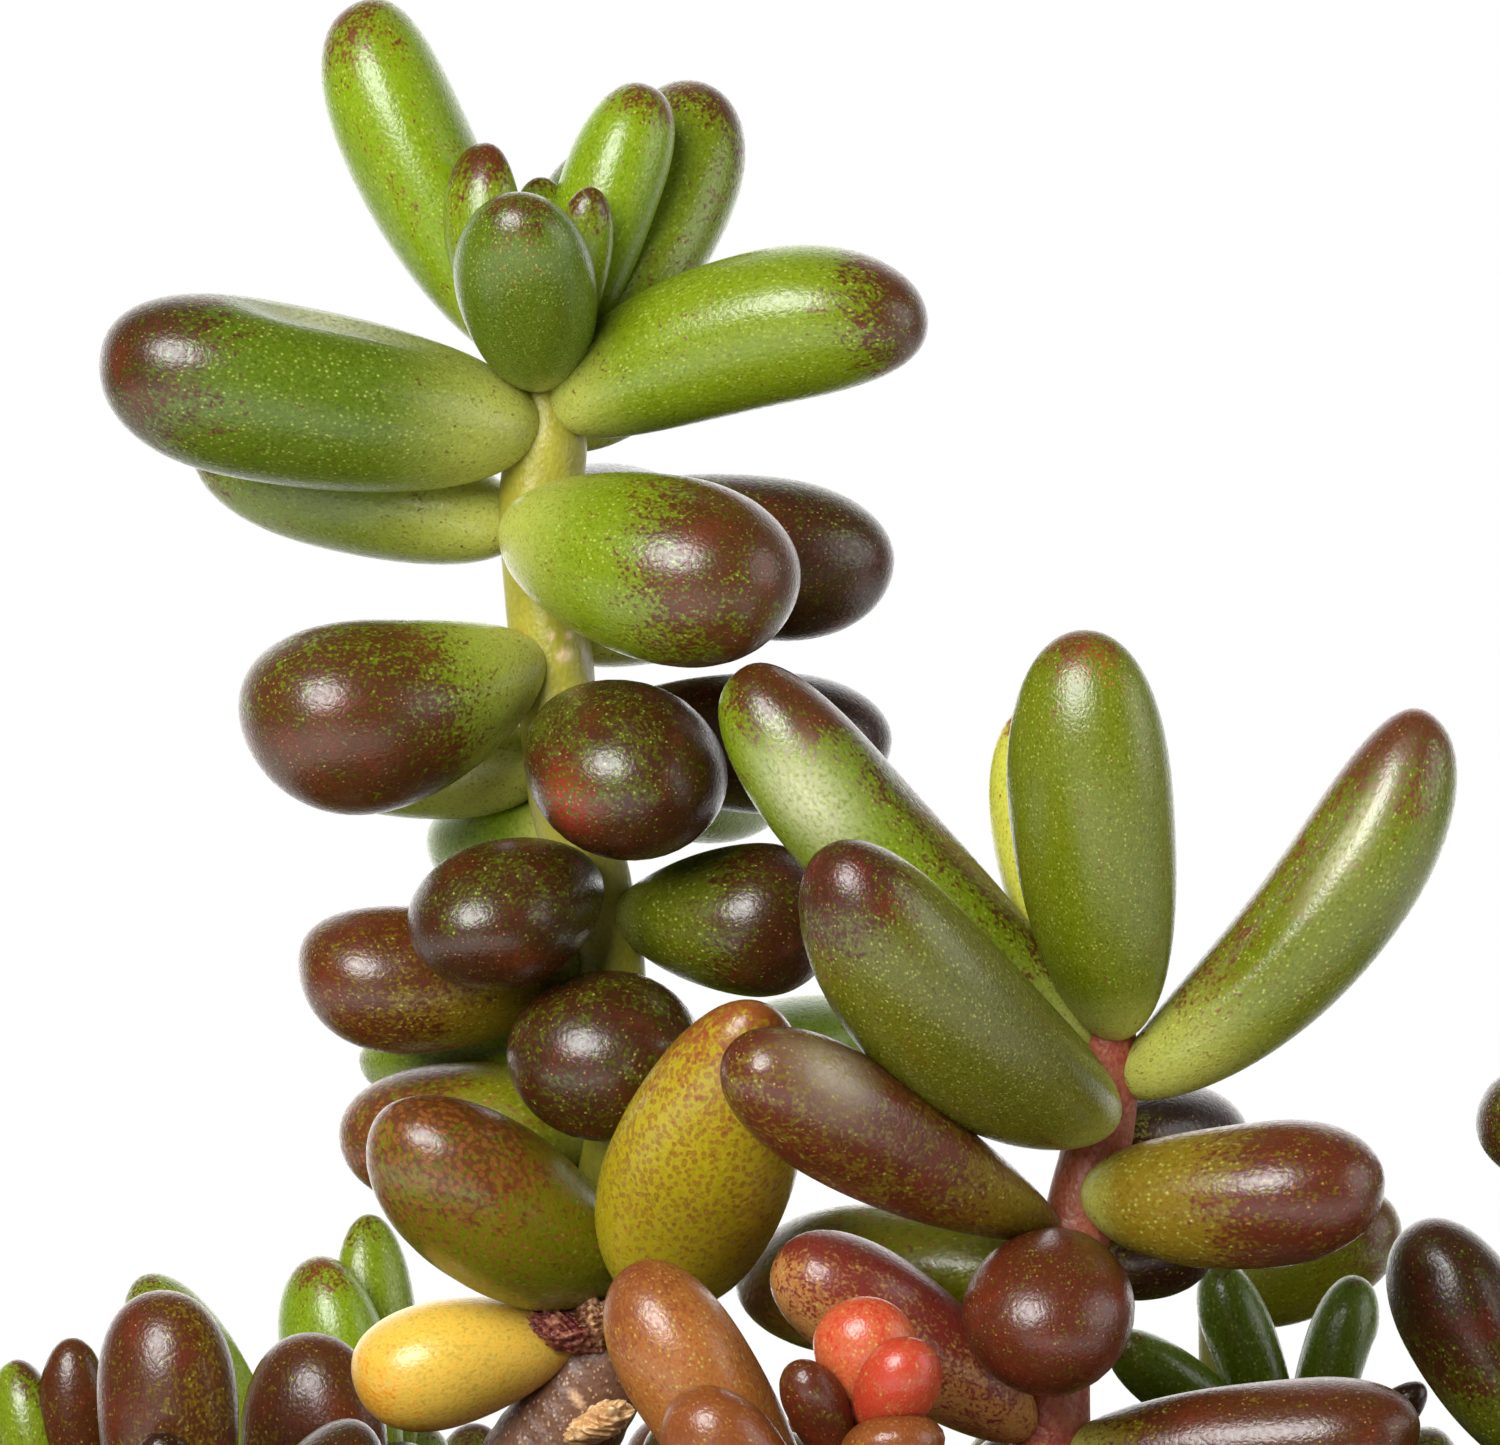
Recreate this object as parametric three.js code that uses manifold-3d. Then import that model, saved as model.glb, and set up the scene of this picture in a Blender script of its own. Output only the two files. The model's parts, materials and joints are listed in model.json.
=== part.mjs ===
// A white stonecrop, which is a small trailing succulent, in a plain fired-clay pot. Millimetres, +Z up, the
// origin at the middle of the pot's foot. The shoots in view are placed leaf by leaf, by where a camera sees
// each leaf's two ends. The low shoots that fill the rest of the pot follow a growth rule with a seeded draw.

import * as THREE from 'three';
import { mergeVertices } from 'three/addons/utils/BufferGeometryUtils.js';
import Module from 'manifold-3d';

const wasm = await Module();
wasm.setup();

// The view that the leaves were measured in: a pinhole camera looking along +Y and a little down.
const IMAGE_CENTRE = [750, 722.5]; // pixels of the 1500 x 1445 picture
const MM_PER_PIXEL = 0.024; // at the plane of the tall shoot's stem
const VIEW_DISTANCE = 200; // camera to that plane
const VIEW_PITCH = THREE.MathUtils.degToRad(3);
const STEM_PLANE_Y = -7;
const VIEW_CENTRE_Z = 75.5;

// Pot and soil.
const POT_HEIGHT = 50;
const RIM_RADIUS = 31;
const FOOT_RADIUS = 19.9;
const COLLAR_RADIUS = 30.2; // where the collar starts, just above its lower edge
const COLLAR_Z = 38.2;
const POT_SIDES = 36;
const DRAIN_RADIUS = 4.5;
const FLOOR_THICKNESS = 4;
const INNER_FLOOR_RADIUS = 18.2;
const INNER_RIM_RADIUS = 27.8;
const INNER_RIM_Z = 49.3;
const SOIL_Z = 47.5;
const SOIL_GAP = 0.3;
const SOIL_SIDES = 24;
const SOIL_BUMP = 0.35;
const SOIL_RINGS = [24, 16, 8, 0];
const FOOT_Z = 44.8; // how far down the stems stand in the soil
const STEM_STRAIGHT = 0.8; // how far above the soil a stem still stands upright
const HOLE_SIDES = 6;

// Leaves and stems.
const DETAILED = { sides: 8, heights: [0.08, 0.32, 0.66, 0.91], swell: 1.04 };
const PLAIN = { sides: 6, heights: [0.27, 0.82], swell: 1.12 };
const DETAILED_WIDTH = 3.25; // leaves in view from this width on are detailed
const ROOT_SHARE = 0.6; // how far from the axis a placed leaf may start, as a share of the stem's radius
const ROOT_SINK = 0.25; // how far from the axis a leaf of the rule starts
const CROWN = 0.3; // how far down its first stretch the stem's top leaves start, as a share
const UPPER_FLATNESS = 0.12;
const PLACED_STEM_SIDES = 8;
const MAT_STEM_SIDES = 6;
const GOLDEN_ANGLE = THREE.MathUtils.degToRad(137.508);
const CLEARANCE = 0.3;

// Each leaf: name, base and tip as [pixel x, pixel y, mm behind the stem plane], width, thickness, where
// along its length it is widest, how blunt its base and its tip are, and how far its middle bows up.
const TALL_LEAVES = [
  ['T1', [524, 364, 0.6], [357, 3, 1.0], 3.85, 3.35, 0.62, 1.9, 2.5, -0.34],
  ['T2', [535, 381, -0.6], [516, 203, -5.6], 3.3, 2.8, 0.6, 2.0, 2.1, -0.1],
  ['T3', [510, 338, 0], [481, 144, -1.6], 2.1, 1.9, 0.6, 2.0, 2.3, -0.7],
  ['T4', [545, 330, 0.4], [541, 177, 0.5], 1.7, 1.3, 0.6, 2.0, 2.1, 0],
  ['T5', [588, 335, -1.0], [592, 188, -2.3], 1.5, 1.4, 0.6, 2.0, 2.1, -0.15],
  ['T6', [574, 345, 0.5], [646, 84, 0.4], 2.9, 2.6, 0.65, 2.0, 2.3, 0.12],
  ['T7', [590, 375, 1.2], [703, 90, 4.0], 3.9, 3.5, 0.64, 2.0, 2.4, -0.32],
  ['T8', [555, 350, 1.3], [597, 150, 6.0], 2.5, 2.0, 0.6, 2.0, 2.0, 0],
  ['T9', [556, 408, -0.3], [923, 309, -3.2], 4.25, 4.0, 0.62, 2.3, 2.2, 0.7],
  ['T10', [527, 427, -0.9], [103, 352, -3.4], 4.75, 4.55, 0.66, 2.2, 2.3, -0.12],
  ['T11', [508, 528, 0.7], [198, 440, 3.6], 3.8, 3.5, 0.6, 2.2, 2.1, 0],
  ['T12', [508, 526, -1.1], [783, 590, -5.5], 4.9, 4.75, 0.6, 1.9, 2.2, 0],
  ['T13', [580, 530, 0.6], [891, 566, 2.6], 4.3, 4.2, 0.62, 2.0, 2.1, 0],
  ['T14', [575, 510, 0.7], [664, 556, 8.5], 4.2, 4.0, 0.6, 2.0, 2.0, 0],
  ['T15', [572, 440, 0.7], [705, 288, 5.5], 3.2, 2.7, 0.6, 2.0, 2.0, -0.1],
  ['T16', [540, 658, -1.0], [248, 724, -3.6], 5.1, 5.0, 0.65, 1.65, 2.2, -0.3],
  ['T17', [575, 645, 0.7], [735, 596, 6.0], 2.8, 2.1, 0.6, 2.0, 2.0, 0],
  ['T18', [597, 715, -0.7], [664, 805, -5.6], 4.65, 4.3, 0.6, 1.9, 2.0, 0],
  ['T19', [590, 735, 0.6], [887, 741, 3.5], 4.0, 3.75, 0.65, 1.9, 2.0, 0],
  ['T20', [565, 828, 0.7], [455, 845, 6.0], 3.2, 2.9, 0.6, 2.0, 2.0, 0],
  ['T21', [540, 764, 0.5], [300, 738, 3.6], 3.6, 3.2, 0.6, 2.2, 2.0, -0.1],
  ['T22', [578, 874, -0.7], [446, 938, -5.8], 4.15, 3.75, 0.6, 1.7, 2.0, 0],
  ['T23', [598, 948, 0.1], [300, 968, -1.5], 4.0, 3.85, 0.65, 1.7, 2.3, -0.4],
  ['T24', [612, 914, -0.3], [833, 916, -2.0], 4.2, 3.95, 0.68, 1.6, 2.1, 0],
  ['T25', [590, 785, 0.7], [772, 800, 8.0], 2.8, 2.4, 0.6, 2.0, 2.0, 0],
  ['T26', [632, 1088, 0.7], [878, 1022, 6.0], 3.2, 2.7, 0.6, 2.0, 2.0, 0],
  ['T27', [612, 1010, -0.7], [601, 1084, -5.3], 4.65, 4.15, 0.6, 1.9, 2.0, 0],
  ['T28', [600, 1042, 0.7], [368, 1060, 5.0], 3.2, 2.7, 0.6, 2.0, 2.0, 0],
  ['T29', [612, 1120, 0.3], [340, 1137, 1.0], 4.0, 3.75, 0.6, 2.0, 2.1, 0],
  ['T30', [660, 1290, -1.8], [754, 1009, -9.6], 4.55, 4.1, 0.44, 2.2, 1.9, 0],
  ['T31', [600, 1278, -0.8], [388, 1118, -4.8], 4.6, 4.1, 0.52, 2.1, 2.0, -0.1],
  ['T32', [570, 1326, -0.8], [354, 1380, -1.8], 3.4, 3.3, 0.64, 1.6, 2.3, 0],
  ['scrap_1', [596, 1345, -0.9], [540, 1318, -2.2], 1.5, 1.0, 0.6, 2.0, 2.0, 0],
  ['scrap_2', [602, 1350, -1.0], [586, 1303, -2.3], 1.3, 0.9, 0.6, 2.0, 2.0, 0],
  ['scale', [572, 1452, -1.0], [622, 1406, -2.0], 1.3, 0.8, 0.6, 2.0, 2.0, 0],
];
const CLASPING = ['T12', 'T30']; // leaves that start beside the stem's axis, where they were measured
const RIGHT_LEAVES = [
  ['U1', [1082, 1050, -4.2], [735, 674, -5.0], 3.6, 3.4, 0.64, 1.9, 2.5, -0.3],
  ['U2', [1112, 1126, -4.8], [830, 858, -12.6], 4.2, 4.1, 0.6, 2.0, 2.2, -0.8],
  ['U3', [1120, 1040, -4.4], [1082, 632, -7.5], 3.95, 3.4, 0.6, 2.0, 2.2, -0.4],
  ['U4', [1092, 1035, -3.9], [1030, 706, -2.5], 2.8, 2.3, 0.6, 2.0, 2.2, -0.3],
  ['U4b', [1110, 1030, -3.5], [1096, 634, -0.9], 2.6, 2.1, 0.6, 2.0, 2.0, -0.3],
  ['U5', [1128, 1093, -4.0], [1434, 716, -5.2], 3.65, 3.5, 0.64, 2.1, 2.3, -0.88],
  ['U6', [1080, 1196, -4.8], [1382, 1180, -7.0], 3.9, 3.7, 0.64, 2.1, 2.1, -0.1],
  ['U7', [1060, 1232, -4.2], [740, 1054, -12.4], 3.3, 3.2, 0.68, 1.6, 2.4, -0.1],
  ['U8', [1064, 1256, -4.7], [1033, 1352, -9.2], 3.95, 3.85, 0.6, 1.9, 2.0, 0],
  ['U9', [1105, 1136, -3.5], [1222, 1136, 1.0], 3.2, 2.9, 0.6, 2.0, 2.0, 0],
  ['U10', [1075, 1262, -3.5], [1205, 1222, -0.5], 3.2, 2.8, 0.6, 2.0, 2.0, 0],
  ['U11', [1034, 1432, -4.3], [786, 1253, -7.0], 3.2, 3.05, 0.64, 2.0, 2.5, 0.15],
  ['U12', [1050, 1262, -3.7], [745, 1284, 1.2], 4.1, 3.9, 0.6, 2.0, 2.0, 0],
  ['U13', [1068, 1450, -4.6], [1420, 1426, -6.0], 3.3, 3.2, 0.7, 1.9, 2.1, -0.1],
];
const FRONT_LEAVES = [
  ['F1', [808, 1560, -10.0], [630, 1265, -9.8], 3.3, 3.2, 0.66, 1.8, 2.2, 0],
  ['F2', [800, 1575, -10.4], [690, 1396, -13.0], 2.9, 2.7, 0.6, 2.0, 2.2, 0],
  ['F3', [846, 1470, -10.2], [798, 1364, -12.0], 1.5, 1.4, 0.66, 1.8, 2.1, 0],
  ['F4', [870, 1412, -10.0], [864, 1303, -11.6], 2.45, 2.1, 0.6, 2.0, 2.0, 0],
  ['F5', [876, 1430, -10.1], [912, 1348, -12.4], 2.0, 1.9, 0.6, 2.0, 2.0, 0],
  ['F6', [862, 1455, -10.0], [916, 1436, -12.6], 2.3, 1.6, 0.6, 2.0, 2.0, 0],
];
const LEFT_1_LEAVES = [
  ['L1', [176, 1570, 0.6], [162, 1291, 0], 3.6, 3.1, 0.6, 2.0, 2.2, 0],
  ['L8', [180, 1600, 0.2], [160, 1434, -2.2], 1.9, 1.7, 0.6, 2.0, 2.1, 0],
];
const LEFT_2_LEAVES = [
  ['L3', [322, 1590, 8], [311, 1333, 7.6], 3.9, 3.2, 0.55, 2.0, 2.2, 0],
  ['L2', [312, 1585, 8.5], [143, 1277, 12.5], 2.8, 2.5, 0.68, 1.9, 2.1, 0],
];
const LEFT_3_LEAVES = [
  ['L4', [378, 1530, 15.1], [316, 1257, 14.4], 3.5, 2.9, 0.6, 2.0, 2.1, 0],
  ['L5', [392, 1500, 15.3], [368, 1214, 16.2], 2.2, 2.0, 0.6, 2.0, 2.1, 0],
];
const LEFT_4_LEAVES = [
  ['L6', [78, 1560, 11], [72, 1338, 10.2], 1.95, 1.8, 0.6, 2.0, 2.1, 0],
  ['L7', [68, 1590, 11.2], [14, 1360, 10.8], 2.3, 2.1, 0.6, 2.0, 2.1, 0],
];
const EDGE_1_LEAVES = [['R1', [1556, 1472, 0.5], [1415, 1224, 0], 3.5, 3.3, 0.6, 2.0, 2.2, 0]];
const EDGE_2_LEAVES = [['R2', [1645, 1165, -1.2], [1484, 1096, -1.6], 3.0, 2.8, 0.62, 2.0, 2.3, 0]];
const EDGE_3_LEAVES = [['R3', [1226, 1305, 14], [1394, 1208, 13], 3.0, 2.9, 0.62, 2.0, 2.1, 0]];
const EDGE_4_LEAVES = [
  ['R4a', [1286, 1465, 7.5], [1216, 1262, 7.0], 2.1, 1.9, 0.6, 2.0, 2.2, 0],
  ['R4b', [1300, 1470, 7.7], [1358, 1276, 7.5], 2.2, 1.9, 0.62, 2.0, 2.2, 0],
  ['R4c', [1282, 1460, 7.3], [1112, 1336, 5.2], 2.0, 1.8, 0.62, 2.0, 2.2, 0],
  ['R5', [1302, 1490, 7.3], [1424, 1385, 6.0], 1.3, 1.2, 0.64, 2.0, 2.1, 0],
];

// Each placed shoot: its stem as points [pixel x, pixel y, mm behind the stem plane, radius] from the top
// down, the foot where it stands in the soil as [x, y], its leaves, and how many leaves the rule adds.
const PLACED_SHOOTS = [
  {
    name: 'tall_shoot', colour: 0x7f8d3c, foot: [-6, -6.6], leaves: TALL_LEAVES, extra: 0,
    stem: [
      [548, 340, 0.1, 0.6], [545, 440, 0, 0.95], [541, 500, 0, 0.98], [543, 560, 0, 0.95],
      [549, 640, 0, 0.92], [560, 720, 0, 0.92], [568, 790, 0, 0.92], [588, 870, 0, 0.9],
      [604, 950, 0, 0.9], [613, 1050, 0, 0.95], [620, 1160, 0, 1.0], [622, 1260, 0, 1.1],
      [606, 1345, 0, 1.3], [570, 1415, 0.1, 1.38], [530, 1480, 0.3, 1.38], [505, 1570, 0.4, 1.35],
    ],
  },
  {
    name: 'right_shoot', colour: 0x8a9146, foot: [7, -11], leaves: RIGHT_LEAVES, extra: 2,
    stem: [
      [1108, 1010, -4, 0.55], [1106, 1100, -4, 0.7], [1092, 1165, -4, 0.78], [1078, 1220, -4, 0.8],
      [1064, 1290, -4, 0.82], [1054, 1370, -4, 0.85], [1050, 1450, -4, 0.9], [1046, 1560, -4, 0.95],
    ],
  },
  {
    name: 'front_shoot', colour: 0xb5773f, foot: [1, -17], leaves: FRONT_LEAVES, extra: 4,
    stem: [
      [874, 1400, -9.9, 0.4], [862, 1450, -9.9, 0.6], [836, 1510, -9.9, 0.8], [806, 1570, -9.9, 0.85],
      [795, 1640, -9.9, 0.85],
    ],
  },
  {
    name: 'left_shoot_1', colour: 0x7a5a3a, foot: [-13.7, -6.5], leaves: LEFT_1_LEAVES, extra: 7,
    stem: [[177, 1550, 0.5, 0.6], [178, 1620, 0.5, 0.85]],
  },
  {
    name: 'left_shoot_2', colour: 0x7c5c44, foot: [-10.8, 1], leaves: LEFT_2_LEAVES, extra: 6,
    stem: [[318, 1570, 8.1, 0.6], [318, 1640, 8, 0.85]],
  },
  {
    name: 'left_shoot_3', colour: 0x86a050, foot: [-9.4, 8.2], leaves: LEFT_3_LEAVES, extra: 6,
    stem: [[386, 1490, 15.2, 0.6], [386, 1560, 15.2, 0.8]],
  },
  {
    name: 'left_shoot_4', colour: 0x98705c, foot: [-17.2, 4.1], leaves: LEFT_4_LEAVES, extra: 7,
    stem: [[73, 1545, 11.1, 0.6], [72, 1610, 11.1, 0.8]],
  },
  {
    name: 'right_edge_shoot_1', colour: 0x6e5236, foot: [19.4, -6.5], leaves: EDGE_1_LEAVES, extra: 8,
    stem: [[1558, 1450, 0.5, 0.6], [1558, 1540, 0.5, 0.85]],
  },
  {
    name: 'right_edge_shoot_2', colour: 0x74823e, foot: [22.6, -10.5], leaves: EDGE_2_LEAVES, extra: 9,
    stem: [[1650, 1170, -1.4, 0.55], [1672, 1260, -2, 0.75], [1702, 1400, -3, 0.85]],
  },
  {
    name: 'right_edge_shoot_3', colour: 0x6f7c3c, foot: [12.2, 7], leaves: EDGE_3_LEAVES, extra: 7,
    stem: [[1222, 1290, 14, 0.5], [1225, 1400, 14, 0.75], [1225, 1500, 14, 0.85]],
  },
  {
    name: 'right_edge_shoot_4', colour: 0x5f7a3a, foot: [13.5, 0.4], leaves: EDGE_4_LEAVES, extra: 5,
    stem: [[1292, 1445, 7.5, 0.5], [1292, 1540, 7.5, 0.8]],
  },
];

// The low shoots of the mat, spread as seeds are in a sunflower.
const MAT_POINTS = 40;
const MAT_RADIUS = 25;
const MAT_JITTER = 0.7;
const MAT_SPACING = 6.0; // least distance between two feet
const MAT_LEAVES = 9;
const MAT_STEM_RADIUS = 0.8;
const MAT_TOP_RADIUS = 0.56;
const MAT_STEM_RISE = [4.0, 6.6]; // stem's top above the soil
const MAT_BACK_RISE = 4.2; // the most behind the stem plane, where the picture sees far down
const MAT_BACK_WIDTH = 20;
const MAT_LEAN = 0.3; // how far the stem's top lies outward, as a share of its rise
const MAT_COLOURS = [0x7f9440, 0x8b8a44, 0x86603f, 0x6f8a3c];
const TOP_LEAF_LENGTH = 4.2;
const FULL_LEAF_LENGTH = [6.4, 8.2];
const LEAF_WIDTH_RATIO = 0.5;
const LEAF_THICKNESS_RATIO = 0.44;
const TOP_PITCH = 76;
const LOW_PITCH = 24;
const STEEPEST = 80;
const TURN_JITTER = 0.35;
const LENGTH_GAIN = 2.2; // how fast the leaves grow to full length down the stem
const PLACED_START = 0.6; // how far along that growth the rule starts on a placed shoot
const RULE_HEIGHT = 8.5; // the leaves of the rule start at most this far above the soil
const RULE_LOWEST = 1.3; // and at least this far
const RULE_TOP_GAP = 0.6; // and this far below the stem's top
const RULE_FORM = [0.6, 2.0, 2.2]; // where it is widest, and how blunt its base and its tip are
const RULE_BOW = -0.05; // bow of a leaf of the rule, as a share of its length
const SOIL_CLEARANCE = 0.35;
const RIM_CLEARANCE = 0.4;
const INNER_RIM_CLEARANCE = 1.2;
const SISTER_SHARE = 0.94; // leaves of one shoot may come this close, as a share of their half widths
const ROOT_PART = 0.4; // nearer its root than this, a leaf may touch its sisters
const RIM_OVERHANG_Z = 50.5; // leaves above the rim stay above this
const VIEW_LIMIT_BACK = 1400; // leaves of the rule stay below this pixel row behind the stem plane
const VIEW_LIMIT_FRONT = 1452; // and below this one in front of it
const TRY_SCALES = [1, 0.88, 0.76, 0.66];
const TRY_TURNS = [0, 14, -14, 28, -28, 44, -44];
const TRY_PITCHES = [0, -12, 12, -24];

const TRIES = TRY_SCALES.flatMap((scale) => TRY_TURNS.flatMap((turn) => (
  TRY_PITCHES.map((pitch) => [scale, turn, pitch]))));

/** Returns a seeded source of numbers from 0 to 1. */
function makeRandom(seed) {
  let state = seed;
  return () => {
    state = (Math.imul(state, 1664525) + 1013904223) >>> 0;
    return state / 4294967296;
  };
}

const FORWARD = new THREE.Vector3(0, Math.cos(VIEW_PITCH), -Math.sin(VIEW_PITCH));
const UPWARD = new THREE.Vector3(0, Math.sin(VIEW_PITCH), Math.cos(VIEW_PITCH));
const CAMERA = new THREE.Vector3(0, STEM_PLANE_Y, VIEW_CENTRE_Z).addScaledVector(FORWARD, -VIEW_DISTANCE);

/** The point seen at a pixel, in the plane that lies `depth` mm behind the stem plane. */
function at([px, py, depth]) {
  const ray = FORWARD.clone().multiplyScalar(VIEW_DISTANCE);
  ray.x += (px - IMAGE_CENTRE[0]) * MM_PER_PIXEL;
  ray.addScaledVector(UPWARD, (IMAGE_CENTRE[1] - py) * MM_PER_PIXEL);
  return CAMERA.clone().addScaledVector(ray, (STEM_PLANE_Y + depth - CAMERA.y) / ray.y);
}

/** The pixel row and column of a point, and the size of one pixel there. */
function seen(point) {
  const offset = point.clone().sub(CAMERA);
  const pixel = offset.dot(FORWARD) / VIEW_DISTANCE * MM_PER_PIXEL;
  const row = IMAGE_CENTRE[1] - offset.dot(UPWARD) / pixel;
  return { row, column: IMAGE_CENTRE[0] + offset.x / pixel, pixel };
}

/** A lathe solid of unit height whose every vertex is moved by place(height, x, z). */
function bentLathe(profile, sides, place) {
  const geometry = new THREE.LatheGeometry(profile.map(([r, h]) => new THREE.Vector2(r, h)), sides);
  const position = geometry.getAttribute('position');
  for (let i = 0; i < position.count; i += 1) {
    const point = place(position.getY(i), position.getX(i), position.getZ(i));
    position.setXYZ(i, point.x, point.y, point.z);
  }
  return toSolid(geometry);
}

/** A manifold solid of a closed geometry. */
function toSolid(geometry) {
  geometry.deleteAttribute('normal');
  geometry.deleteAttribute('uv');
  const merged = mergeVertices(geometry, 1e-4);
  const index = merged.getIndex().array;
  const kept = [];
  for (let i = 0; i < index.length; i += 3) {
    const [a, b, c] = [index[i], index[i + 1], index[i + 2]];
    if (a !== b && b !== c && a !== c) kept.push(a, b, c);
  }
  return new wasm.Manifold(new wasm.Mesh({
    numProp: 3,
    vertProperties: new Float32Array(merged.getAttribute('position').array),
    triVerts: new Uint32Array(kept),
  }));
}

/** A three.js geometry of a manifold solid. */
function toGeometry(solid) {
  const mesh = solid.getMesh();
  const geometry = new THREE.BufferGeometry();
  geometry.setAttribute('position', new THREE.BufferAttribute(new Float32Array(mesh.vertProperties), 3));
  geometry.setIndex(Array.from(mesh.triVerts));
  geometry.computeVertexNormals();
  return geometry;
}

/** The leaf's half width at a height from 0 to 1, as a share of its greatest. */
function leafOutline(height, widest, baseBlunt, tipBlunt) {
  const low = height < widest;
  const x = low ? (widest - height) / widest : (height - widest) / (1 - widest);
  const blunt = low ? baseBlunt : tipBlunt;
  return Math.pow(Math.max(0, 1 - Math.pow(x, blunt)), 1 / blunt);
}

/** A leaf's size and frame from its ends. */
function makeLeaf(base, tip, width, thickness, widest, baseBlunt, tipBlunt, bow) {
  const along = tip.clone().sub(base);
  const length = along.length();
  along.divideScalar(length);
  const up = new THREE.Vector3(0, 0, 1).addScaledVector(along, -along.z).normalize();
  const side = new THREE.Vector3().crossVectors(along, up);
  const outline = (height) => leafOutline(height, widest, baseBlunt, tipBlunt);
  const centre = (height) => base.clone().addScaledVector(along, height * length)
    .addScaledVector(up, bow * 4 * height * (1 - height));
  return { base, length, along, up, side, width, thickness, outline, centre };
}

/** The leaf's solid: an oval section, a little flatter above. */
function leafSolid(leaf, grade) {
  const profile = [[0, 0], ...grade.heights.map((height) => [leaf.outline(height), height]), [0, 1]];
  return bentLathe(profile, grade.sides, (height, x, z) => leaf.centre(height)
    .addScaledVector(leaf.side, x * grade.swell * leaf.width / 2)
    .addScaledVector(leaf.up, z * (z > 0 ? 1 - UPPER_FLATNESS : 1) * grade.swell * leaf.thickness / 2));
}

/** The spheres that stand for a leaf when its distance to others is tested. */
function leafSpheres(leaf) {
  return [0.12, 0.3, 0.48, 0.66, 0.82, 0.93].map((height) => ({
    centre: leaf.centre(height), radius: leaf.outline(height) * leaf.width / 2, height,
  }));
}

/** The stem's solid along points from the top down, with a radius at each. */
function stemSolid(points, radii, sides) {
  const curve = new THREE.CatmullRomCurve3(points, false, 'centripetal');
  const last = points.length - 1;
  const profile = [[0, 0]];
  points.forEach((_, i) => profile.push([radii[i], i / last]));
  profile.push([0, 1]);
  return bentLathe(profile, sides, (height, x, z) => {
    const tangent = curve.getTangent(height).negate();
    const across = new THREE.Vector3(1, 0, 0).addScaledVector(tangent, -tangent.x).normalize();
    const beside = new THREE.Vector3().crossVectors(tangent, across);
    return curve.getPoint(height).addScaledVector(across, x).addScaledVector(beside, z);
  });
}

/** The soil's height at a place: two waves make low bumps. */
function soilHeight(x, y) {
  const broad = Math.sin(0.42 * x + 1.3) * Math.cos(0.37 * y);
  const fine = 0.5 * Math.sin(0.9 * y + 0.6 * x);
  return SOIL_Z + SOIL_BUMP * (broad + fine);
}

/** Places a shoot's stem: its points, its radii and the straight part that stands in the soil. */
function plantStem(stem, foot) {
  const points = stem.map(([px, py, depth]) => at([px, py, depth]));
  const radii = stem.map((entry) => entry[3]);
  const lowest = radii[radii.length - 1];
  points.push(new THREE.Vector3(...foot, SOIL_Z + STEM_STRAIGHT), new THREE.Vector3(...foot, FOOT_Z));
  radii.push(lowest, lowest);
  return { points, radii };
}

/** The spheres that stand for a stem, about 1.2 mm apart. */
function stemSpheres(points, radii) {
  const spacing = 1.2;
  const spheres = [];
  for (let i = 0; i < points.length - 1; i += 1) {
    const steps = Math.max(1, Math.round(points[i].distanceTo(points[i + 1]) / spacing));
    for (let j = 0; j < steps; j += 1) {
      const t = j / steps;
      const radius = radii[i] + (radii[i + 1] - radii[i]) * t;
      spheres.push({ centre: points[i].clone().lerp(points[i + 1], t), radius, height: 0 });
    }
  }
  return spheres;
}

/** Whether a leaf of the rule is clear of the soil, the rim, the view and every leaf and stem so far. */
function isClear(leaf, shoot, shoots) {
  const spheres = leafSpheres(leaf);
  for (const sphere of spheres) {
    const { centre, radius, height } = sphere;
    const fromAxis = Math.hypot(centre.x, centre.y);
    const low = centre.z - radius;
    if (fromAxis + radius > RIM_RADIUS - RIM_CLEARANCE) return false;
    if (low < SOIL_Z + SOIL_BUMP + SOIL_CLEARANCE) return false;
    if (fromAxis + radius > INNER_RIM_RADIUS - INNER_RIM_CLEARANCE && low < RIM_OVERHANG_Z) return false;
    const view = seen(centre);
    const limit = centre.y > STEM_PLANE_Y ? VIEW_LIMIT_BACK : VIEW_LIMIT_FRONT;
    const beside = Math.abs(view.column - IMAGE_CENTRE[0]) - radius / view.pixel;
    if (beside < IMAGE_CENTRE[0] && view.row - radius / view.pixel < limit) return false;
    for (const other of shoots) {
      const same = other === shoot;
      for (const neighbour of other.spheres) {
        if (same && (height < ROOT_PART || neighbour.height < ROOT_PART)) continue;
        const reach = radius + neighbour.radius;
        const least = same ? reach * SISTER_SHARE : reach + CLEARANCE;
        if (centre.distanceToSquared(neighbour.centre) < least * least) return false;
      }
    }
  }
  return true;
}

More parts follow.
